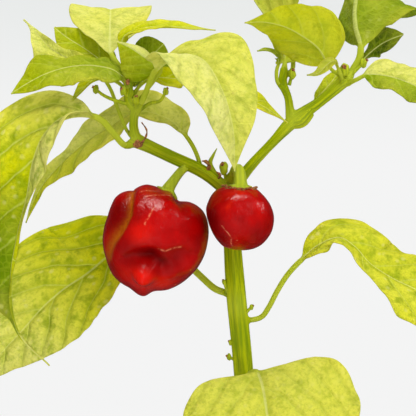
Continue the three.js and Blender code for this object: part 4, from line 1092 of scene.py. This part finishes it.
def build_leaf(name, leaf, seed):
    line = Line(leaf["path"])
    blade = line.length - leaf["stalk"]
    places = leaf_places(leaf, blade)
    middle, along = line.at(places), line.along(places)
    u = np.clip((places - leaf["stalk"]) / blade, 0, 1)[:, None]
    face = lerp(np.array(leaf["face"][0], float), np.array(leaf["face"][1], float), u)
    up = unit(face - along * np.sum(face * along, axis=1, keepdims=True))
    right = np.cross(along, up)

    # Across the blade, s goes from 0 at the rib to 1 at both edges, and hand is 0 left and 1 right.
    n = BLADE["across"]
    even = np.linspace(-1, 1, n)[None, :]
    sign = np.sign(even)
    s = np.abs(even) ** BLADE["crowding"]
    hand = (even > 0).astype(int)
    half, side, rise, angle = blade_form(leaf, u, s, hand, seed)
    across = s * half
    spacing, phase, height = leaf_veins(leaf, u, blade, s, half, hand)
    rise = rise + height

    # The bare stalk is a round rod, which flattens into the blade and runs on under it as the rib.
    flat = smooth((places - leaf["stalk"]) / BLADE["blend"] + BLADE["blend_start"])[:, None]
    radius = stalk_radius(leaf)
    flare = lerp(STALK["flare"], 1, smooth(places / STALK["flare_length"]))[:, None]
    rod = radius * flare * (1 - STALK["taper"] * u)
    rib_width = np.maximum(RIB["width"] * radius * (1 - u) ** 0.7, RIB["least"])
    round_rib = np.sqrt(np.clip(1 - (across / rib_width) ** 2, 0, 1))
    rib = RIB["depth"] * radius * (1 - u) ** 0.8 * round_rib
    thick = lerp(BLADE["thick"], BLADE["edge_thick"], s**3) * np.ones_like(u)
    around = math.pi * (1 - (np.arange(n) + 0.5) / n)[None, :]
    lean = sign * angle
    layers = []
    for top in (1, -1):
        off = top * thick / 2 - (0 if top > 0 else rib)
        blade_x = sign * side - np.sin(lean) * off
        blade_z = rise + np.cos(lean) * off
        x = lerp(rod * np.cos(around), blade_x, flat)
        z = lerp(top * rod * np.sin(around), blade_z, flat)
        layers.append(middle[:, None] + right[:, None] * x[..., None] + up[:, None] * z[..., None])
    rings = np.concatenate([layers[0], layers[1][:, ::-1]], axis=1)
    piece = make_mesh(name + "_fine", *skin(rings))

    # What the paint needs to know at each point of the upper and of the under side.
    def spread(values, under=None):
        under = values if under is None else under
        full = np.ones_like(half)
        ring = np.concatenate([values * full, (under * full)[:, ::-1]], axis=1)
        return np.concatenate([ring.ravel(), [ring[0].mean(), ring[-1].mean()]])

    def carry(label, *parts):
        add_attribute(piece, label, np.stack(parts, axis=-1))

    pale_base, pale_tip, mottle, yellow = leaf["looks"]
    # The paleness holds painted light and shade along the blade and, by the shade pair, on each half.
    pale_and_lit = lerp(pale_base, pale_tip, u) + np.array(leaf["shade"])[hand]
    pale_and_lit = pale_and_lit + leaf["dry_tip"] * smooth((u - DRY_TIP["start"]) / DRY_TIP["length"])
    carry("leaf_flat", spread(sign * across), spread((places - leaf["stalk"])[:, None]), spread(1, -1))
    carry("leaf_veins", spread(phase), spread(spacing * VEINS["lean"]), spread(s))
    carry("leaf_tone", spread(pale_and_lit), spread(mottle), spread(yellow))
    carry("leaf_part", spread(across / rib_width), spread(flat), spread(seed * PATTERN_STEP))
    add_attribute(piece, "leaf_veined", spread(leaf["veined"]))
    piece.visible_glossy = False
    dress(piece, LEAF, [name])


for number, (leaf_name, leaf_form) in enumerate(LEAVES.items()):
    build_leaf(leaf_name, {**USUAL_LEAF, **leaf_form}, number + 1)


# ---------------------------------------------------------------- stem
def ridged(angle, place):
    return 1 + RIDGE_DEPTH * np.cos(RIDGES * (angle - RIDGE_TURN) + RIDGE_TWIST * place)


def root_of(line, length, form, radius=None):
    """The stem's end of a stalk, which widens towards the stem."""
    root = line.at(np.linspace(0, length, form["points"]))
    widths = np.linspace(form["start"], form["end"], form["points"])
    if radius is None:
        root[:, 3] *= widths
    else:
        root = np.column_stack([root, radius * widths])
    return tube(root, sides=16, step=0.5)


def streak_flow(points):
    """For each point of the stem, how far in mm it lies round and along its own shoot, and a 0."""
    best = np.full(len(points), np.inf)
    flow = np.zeros((len(points), 3))
    for number, line in enumerate(SHOOTS.values()):
        path = Line(line)
        places = np.linspace(0, path.length, round(path.length / STREAKS["step"]))
        middle, along = path.at(places), path.along(places)
        off = np.linalg.norm(points[:, None] - middle[None, :, :3], axis=2)
        nearest = off.argmin(1)
        distance = off[np.arange(len(points)), nearest]
        way = along[nearest]
        out = points - middle[nearest, :3]
        side = unit(np.cross(way, [0.31, 0.95, 0.0]))
        over = np.cross(way, side)
        around = np.abs(np.arctan2(np.sum(out * over, 1), np.sum(out * side, 1))) * STREAKS["radius"]
        closer = distance < best
        best[closer] = distance[closer]
        flow[closer, 0] = (around + STREAKS["apart"] * number)[closer]
        flow[closer, 1] = (places[nearest] + np.sum(out * way, 1))[closer]
    return flow


def build_stem():
    parts = [tube(line, sides=40, step=0.7, shape=ridged) for line in SHOOTS.values()]
    for leaf in LEAVES.values():
        length = min(LEAF_ROOT["length"], LEAF_ROOT["most"] * leaf["stalk"])
        parts.append(root_of(Line(leaf["path"]), length, LEAF_ROOT, stalk_radius(leaf)))
    for stalk in FRUIT_STALKS.values():
        parts.append(root_of(Line(stalk["line"]), FRUIT_ROOT["length"], FRUIT_ROOT))
    piece = baked(
        make_mesh("stem_fine", *joined(parts)),
        ("REMESH", dict(mode="VOXEL", voxel_size=STEM_VOXEL * MM, adaptivity=0)),
        ("SMOOTH", dict(factor=0.5, iterations=4)),
    )
    points = points_of(piece)
    flow = streak_flow(points)
    for node in NODES:
        off = np.linalg.norm(points - np.array(node), axis=1)
        flow[:, 2] = np.maximum(flow[:, 2], hump(off, NODE_REACH))
    add_attribute(piece, "stem_flow", flow)
    dress(piece, STEM, ["stem"])


build_stem()


def plain_flow(piece, paleness):
    """Streaks and paleness for a small green piece, which has no shoot of its own."""
    points = points_of(piece)
    flow = np.column_stack([points[:, 0], points[:, 2], np.full(len(points), paleness)])
    add_attribute(piece, "stem_flow", flow)


def ragged(shift):
    return lambda angle, place: 1 + THREAD_UNEVEN * np.sin(2.3 * place + 2 * angle + shift)


def build_buds():
    green, dry = [], []
    for number, (stalk, size) in enumerate(BUDS):
        stalk = np.array(stalk, float)
        radii = np.linspace(*BUD["stalk"], len(stalk))
        green.append(tube(np.column_stack([stalk, radii]), sides=10, step=0.5))
        green.append(ball(stalk[-1], size, BUD["stretch"], 3, BUD["uneven"], number))
        tip = stalk[-1] + unit(stalk[-1] - stalk[-2]) * size * BUD["tip_place"]
        dry.append(ball(tip, BUD["tip"] * size, (1, 1, 1), 2, BUD["tip_uneven"], number + 40))
    green.append(tube(SPIKE, 14, 0.3))
    for number, thread in enumerate(DRY_THREADS):
        dry.append(tube(thread, 8, 0.25, ragged(number)))
    for number, (centre, sizes) in enumerate(SCARS):
        dry.append(ball(centre, 1, sizes, 4, SCAR_UNEVEN, number + 80))
    piece = make_mesh("buds", *joined(green))
    plain_flow(piece, BUD["paleness"])
    dress(piece, STEM)
    dress(make_mesh("bud_tips", *joined(dry)), DRY)


build_buds()


# ---------------------------------------------------------------- fruits
def direction(azimuth, elevation):
    a, e = math.radians(azimuth), math.radians(elevation)
    return np.array([math.sin(a) * math.cos(e), -math.cos(a) * math.cos(e), math.sin(e)])


def humps(d, rows):
    """The sum, in each direction, of round humps (azimuth, elevation, height, spread)."""
    total = np.zeros(len(d))
    for azimuth, elevation, height, spread in rows:
        off = np.degrees(np.arccos(np.clip(d @ direction(azimuth, elevation), -1, 1)))
        total += height * hump(off, spread)
    return total


def off_line(d, along):
    """For directions, from a line of directions: degrees off it, on which side, and the share along it."""
    least = np.full(len(d), np.inf)
    side = np.ones(len(d))
    share = np.zeros(len(d))
    for k, (one, two) in enumerate(zip(along, along[1:])):
        a, b = direction(*one), direction(*two)
        t = np.clip((d - a) @ (b - a) / np.dot(b - a, b - a), 0, 1)
        near = unit(a + (b - a) * t[:, None])
        off = np.degrees(np.arccos(np.clip(np.sum(d * near, 1), -1, 1)))
        closer = off < least
        least[closer] = off[closer]
        side[closer] = np.sign(d @ np.cross(a, b))[closer]
        share[closer] = (k + t[closer]) / (len(along) - 1)
    return least, side, share


def fruit_share(fruit, d):
    """In each direction, how far a fruit reaches as a share of its half sizes, and how creased it is."""
    share = fruit["body"] + humps(d, fruit["bumps"])
    rows = np.array(fruit["outline"], float)
    seen_at = np.degrees(np.arctan2(d[:, 0], d[:, 2]))
    seen = [np.interp(seen_at + step, rows[:, 0], rows[:, 1], period=360) for step in OUTLINE_STEPS]
    sideways = smooth(1 - np.abs(d[:, 1]) / OUTLINE_BAND)
    share = lerp(share, np.mean(seen, axis=0), sideways)
    creased = np.zeros(len(d))
    for crease in fruit["creases"]:
        off, side, along = off_line(d, crease["along"])
        upper, lower = crease["spreads"]
        spread = lerp(lower, upper, smooth(0.5 + 0.5 * side * np.minimum(off, 1)))
        line = hump(off, spread) * (1 - CREASE["flatter"] * sideways)
        depth = lerp(*crease["depths"], along)
        share -= depth * line
        creased = np.maximum(creased, line * np.minimum(depth / CREASE["dark_depth"], 1))
    return share, creased


def fruit_surface(fruit, d, out=0.0):
    share, _ = fruit_share(fruit, d)
    return np.array(fruit["centre"]) + d * np.array(fruit["half"]) * share[:, None] + d * out


def build_fruit(name, fruit):
    points, faces = ball((0, 0, 0), 1, level=7)
    d = unit(points)
    _, creased = fruit_share(fruit, d)
    # Painted light and shade over the fruit, darkest in its creases.
    painted_light_level = np.clip(humps(d, fruit["painted_light_and_shade"]), -1, 1)
    painted_light_level = lerp(painted_light_level, -1, CREASE["painted_shade"] * creased)
    off = np.min([off_line(d, line)[0] for line in fruit["scratches_and_glints"]], axis=0)
    scratch_and_glint = hump(off, SCRATCH_AND_GLINT_SPREAD)
    off, side, along = off_line(d, fruit["streak"])
    right, left_start, left_end = STREAK_SPREADS
    streak = hump(off, np.where(side > 0, right, lerp(left_start, left_end, along)))
    piece = make_mesh(name + "_fine", fruit_surface(fruit, d), faces)
    add_attribute(piece, "fruit_form", np.column_stack([painted_light_level, streak, scratch_and_glint]))
    dress(piece, FRUIT, [name])


for fruit_name, fruit_form in FRUITS.items():
    build_fruit(fruit_name, fruit_form)


def round_about(way, angle, spread):
    """Directions that lie round a way, each at its own angle round it and its own spread from it."""
    way = unit(np.array(way))
    side = unit(np.cross(way, [0.2, 1.0, 0.1]))
    over = np.cross(way, side)
    out = side * np.cos(angle)[:, None] + over * np.sin(angle)[:, None]
    return unit(way * np.cos(spread)[:, None] + out * np.sin(spread)[:, None])


def cap(fruit, way, radius, seed):
    """The green cap that hugs a fruit round its stalk, with five blunt teeth."""
    angle = circle(CAP["points"])
    tooth = 1 + CAP["tooth"] * np.cos(CAP["teeth"] * angle + seed)
    tooth = tooth + CAP["sway"] * np.sin(3 * angle + 2 * seed)
    *shares, rim = np.linspace(CAP["start"], 1, CAP["rings"])
    upper = [(share, CAP["lift"] + CAP["dome"] * (1 - share)) for share in shares]
    lower = [(share, CAP["under"]) for share in reversed(shares)]
    edge = [(rim, CAP["edge"]), (rim, CAP["under_edge"])]
    rings = []
    for share, lift in upper + edge + lower:
        d = round_about(way, angle, radius * share * tooth / max(fruit["half"]))
        rings.append(fruit_surface(fruit, d, lift))
    return skin(np.array(rings))


def dry_rim(fruit, way, radius, seed):
    """A ragged dry rim on a fruit, round its cap."""
    angle = np.linspace(0, 2 * math.pi, DRY_RIM["points"])
    wobble = 1 + DRY_RIM["wobble"] * np.sin(7 * angle + seed) + DRY_RIM["fray"] * np.sin(17 * angle)
    d = round_about(way, angle, radius * wobble / max(fruit["half"]))
    lift = DRY_RIM["lift"] + DRY_RIM["wave"] * np.sin(11 * angle + seed)
    line = fruit_surface(fruit, d, lift[:, None])
    radii = DRY_RIM["radius"] + DRY_RIM["uneven"] * np.sin(23 * angle + 2)
    return tube(np.column_stack([line, radii]), 8, 0.3)


def build_fruit_stalk(name, stalk, seed):
    fruit = FRUITS[stalk["fruit"]]
    line = np.array(stalk["line"], float)
    way = line[-1, :3] - np.array(fruit["centre"])
    rod = tube(line, sides=40, step=0.5, shape=lambda a, p: 1 + 0.05 * np.cos(5 * a))
    piece = make_mesh(name + "_fine", *joined([rod, cap(fruit, way, stalk["cap"], seed)]))
    plain_flow(piece, 1)
    if stalk["dry_rim"]:
        rim = dry_rim(fruit, way, stalk["dry_rim"], seed)
        dress(make_mesh(name + "_rim", *rim), DRY)
    dress(piece, STEM, [name])


for number, (stalk_name, stalk_form) in enumerate(FRUIT_STALKS.items()):
    build_fruit_stalk(stalk_name, stalk_form, number)


# ---------------------------------------------------------------- pot and soil
def arc(middle, radius, start, end, steps=6):
    """Points (r, z) on an arc of a profile, from one angle in degrees to another."""
    angles = np.radians(np.linspace(start, end, steps))
    return [(middle[0] + radius * math.cos(a), middle[1] + radius * math.sin(a)) for a in angles]


def pot_inside(z):
    neck = POT["height"] - POT["rim_height"]
    if z <= neck:
        return lerp(POT["foot_radius"], POT["neck_radius"], z / neck) - POT["wall"]
    share = (z - neck) / (POT["height"] - POT["edge"] - neck)
    return lerp(POT["neck_radius"] - POT["wall"], POT["rim_radius"] - POT["rim_wall"], share)


def turned(profile, facets):
    """A closed body turned about Z from an open profile (r, z) that starts and ends on the axis."""
    angle = circle(facets)
    r, z = np.array(profile[1:-1]).T[:, :, None]
    points, faces = skin(np.stack([r * np.cos(angle), r * np.sin(angle), z + 0 * angle], axis=-1))
    points[-2] = (0, 0, profile[0][1])
    points[-1] = (0, 0, profile[-1][1])
    return points, faces


def pot_profile():
    h, edge, floor, cove = POT["height"], POT["edge"], POT["floor"], POT["cove"]
    foot, rim = POT["foot_radius"], POT["rim_radius"]
    foot_edge, under = POT["foot_edge"], POT["under_edge"]
    neck = h - POT["rim_height"]
    side = rim - POT["draft"]
    mouth = rim - POT["rim_wall"]
    up_the_wall = np.linspace(0.02, 1, POT["wall_points"])
    wall = [(lerp(foot, POT["neck_radius"], t), lerp(2, neck - 0.5, t)) for t in up_the_wall]
    up_the_rim = np.linspace(0.1, 1, POT["side_points"])
    rim_side = [(lerp(side, rim, t), lerp(neck + 3, h - edge - 1, t)) for t in up_the_rim]
    rim_inside = [(pot_inside(z), z) for z in np.linspace(h - edge - 1, neck + 2, POT["side_points"])]
    inside = [(pot_inside(z), z) for z in np.linspace(neck, floor + cove, POT["inside_points"])]
    return (
        [(0, 0), (foot - POT["foot_flat"], 0)]
        + arc((foot - foot_edge, foot_edge), foot_edge, -90, 0) + wall
        + arc((side - under, neck + 2.4), under, -90, 0) + rim_side
        + arc((rim - edge, h - edge), edge, 0, 90) + arc((mouth + edge, h - edge), edge, 90, 180)
        + rim_inside + inside
        + [(pot_inside(floor) - cove, floor), (0, floor)]
    )


def build_pot():
    piece = make_mesh("pot_fine", *turned(pot_profile(), POT["facets"]))
    drains = []
    for turn in circle(POT["drains"]):
        x, y = POT["drain_circle"] * math.cos(turn), POT["drain_circle"] * math.sin(turn)
        drains.append(tube([(x, y, z, POT["drain_radius"]) for z in (-5, 5, 15)], 40, 5))
    cutter = make_mesh("drains", *joined(drains))
    baked(piece, ("BOOLEAN", dict(operation="DIFFERENCE", object=cutter, solver="EXACT")))
    bpy.data.objects.remove(cutter)
    dress(piece, CLAY, ["pot"])


build_pot()


def soil_height(x, y):
    swell = math.sin(0.21 * x + 0.13 * y) * math.cos(0.17 * y - 0.05 * x)
    clods = SOIL["clod"] * math.sin(0.45 * x - 0.38 * y + 1)
    grain = sum(height * noise.noise(Vector((x, y, 0)) * fine) for height, fine in SOIL_GRAIN)
    edge = SOIL["sag"] * (math.hypot(x, y) / SOIL["sag_radius"]) ** 8
    return POT["height"] - SOIL["below_rim"] + SOIL["bump"] * (swell + clods) + grain - edge


def build_soil():
    top = POT["height"] - SOIL["below_rim"]
    neck = POT["height"] - POT["rim_height"]
    gap = SOIL["gap"]
    angle = circle(SOIL["facets"])

    def ring(radius, height):
        return [(x, y, height(x, y)) for x, y in zip(radius * np.cos(angle), radius * np.sin(angle))]

    rings = []
    for z in (POT["floor"] + gap, neck, top - SOIL["edge_depth"]):
        rings.append(ring(pot_inside(z) - gap, lambda x, y, z=z: z))
    edge = pot_inside(top) - gap - SOIL["edge_gap"]
    for k in range(SOIL["rings"]):
        rings.append(ring(edge * (1 - k / SOIL["rings"]), soil_height))
    dress(make_mesh("soil_fine", *skin(np.array(rings))), EARTH, ["soil"])

    rng = np.random.default_rng(LUMPS["seed"])
    crumbs, grains = [], []
    for number in range(LUMPS["count"]):
        radius = LUMPS["reach"] * math.sqrt(rng.random())
        turn = rng.random() * 2 * math.pi
        x, y = radius * math.cos(turn), radius * math.sin(turn)
        size = LUMPS["smallest"] + LUMPS["more"] * rng.random() ** 3
        stretch = LUMPS["flattest"] + LUMPS["stretch"] * rng.random(3)
        if math.hypot(x, y) < LUMPS["stem_clear"]:
            continue
        z = soil_height(x, y) + LUMPS["raised"] * size
        lump = ball((x, y, z), size, stretch, 2, LUMPS["uneven"], number)
        (grains if number % LUMPS["grit_every"] == 0 else crumbs).append(lump)
    dress(make_mesh("soil_crumbs", *joined(crumbs)), EARTH)
    dress(make_mesh("soil_grit", *joined(grains)), GRIT)


build_soil()


# ---------------------------------------------------------------- stage, light and camera
def build_floor():
    """A round floor that fades into the backdrop."""
    s = shader("floor")
    x, y, _ = s.split(s.millimetres())
    off = s.math("SQRT", s.sum(s.times(x, x), s.times(y, y)))
    plain = s.principled(FLOOR["colour"], 0.9)
    far = s.node("ShaderNodeEmission", {"Color": BACKDROP + (1,), "Strength": 1.0}).outputs[0]
    material = s.done(s.blend(s.fade(off, FLOOR["plain"], FLOOR["faded"]), plain, far))
    radius = FLOOR["radius"]
    points = [(radius * math.cos(a), radius * math.sin(a), 0) for a in circle(FLOOR["corners"])]
    floor = make_mesh("floor", points, [list(range(FLOOR["corners"]))])
    floor.data.materials.append(material)
    floor.visible_glossy = False


def build_world():
    world = bpy.data.worlds.new("studio")
    bpy.context.scene.world = world
    s = Shader(world)

    def glow(colour, strength=1.0):
        inputs = {"Color": colour + (1,), "Strength": strength}
        return s.node("ShaderNodeBackground", inputs).outputs[0]

    rays = s.node("ShaderNodeLightPath").outputs
    _, y, z = s.split(s.node("ShaderNodeTexCoord").outputs["Generated"])
    # What the gloss mirrors is dim in front of the plant and brighter behind it.
    mirrored = glow(BACKDROP, s.fade(y, *MIRRORED_FADE, *MIRRORED))
    light = s.blend(rays["Is Glossy Ray"], glow(FILL_LIGHT), mirrored)
    # The backdrop darkens a little upwards.
    sheet = s.blend(s.fade(z, *TOP_FADE), glow(BACKDROP), glow(BACKDROP_TOP))
    s.done(s.blend(rays["Is Camera Ray"], light, sheet), "ShaderNodeOutputWorld")


def build_lamps():
    for name, (place, target, size, watts, colour, glossy) in LAMPS.items():
        light = bpy.data.lights.new(name, "AREA")
        light.shape = "SQUARE"
        light.size = size * MM
        light.energy = watts
        light.color = colour
        lamp = bpy.data.objects.new(name, light)
        bpy.context.scene.collection.objects.link(lamp)
        lamp.location = Vector(place) * MM
        lamp.rotation_euler = (Vector(target) - Vector(place)).to_track_quat("-Z", "Y").to_euler()
        lamp.visible_camera = False
        lamp.visible_glossy = glossy


def build_camera():
    data = bpy.data.cameras.new("camera")
    data.sensor_width = CAMERA["sensor"]
    data.lens = CAMERA["sensor"] * -CAMERA["place"][1] / CAMERA["view_width"]
    data.clip_start = CAMERA["near"]
    data.clip_end = CAMERA["far"]
    camera = bpy.data.objects.new("camera", data)
    bpy.context.scene.collection.objects.link(camera)
    camera.location = Vector(CAMERA["place"]) * MM
    camera.rotation_euler = (math.pi / 2, 0, 0)
    bpy.context.scene.camera = camera


build_floor()
build_world()
build_lamps()
build_camera()
bpy.context.scene.view_settings.view_transform = "Standard"
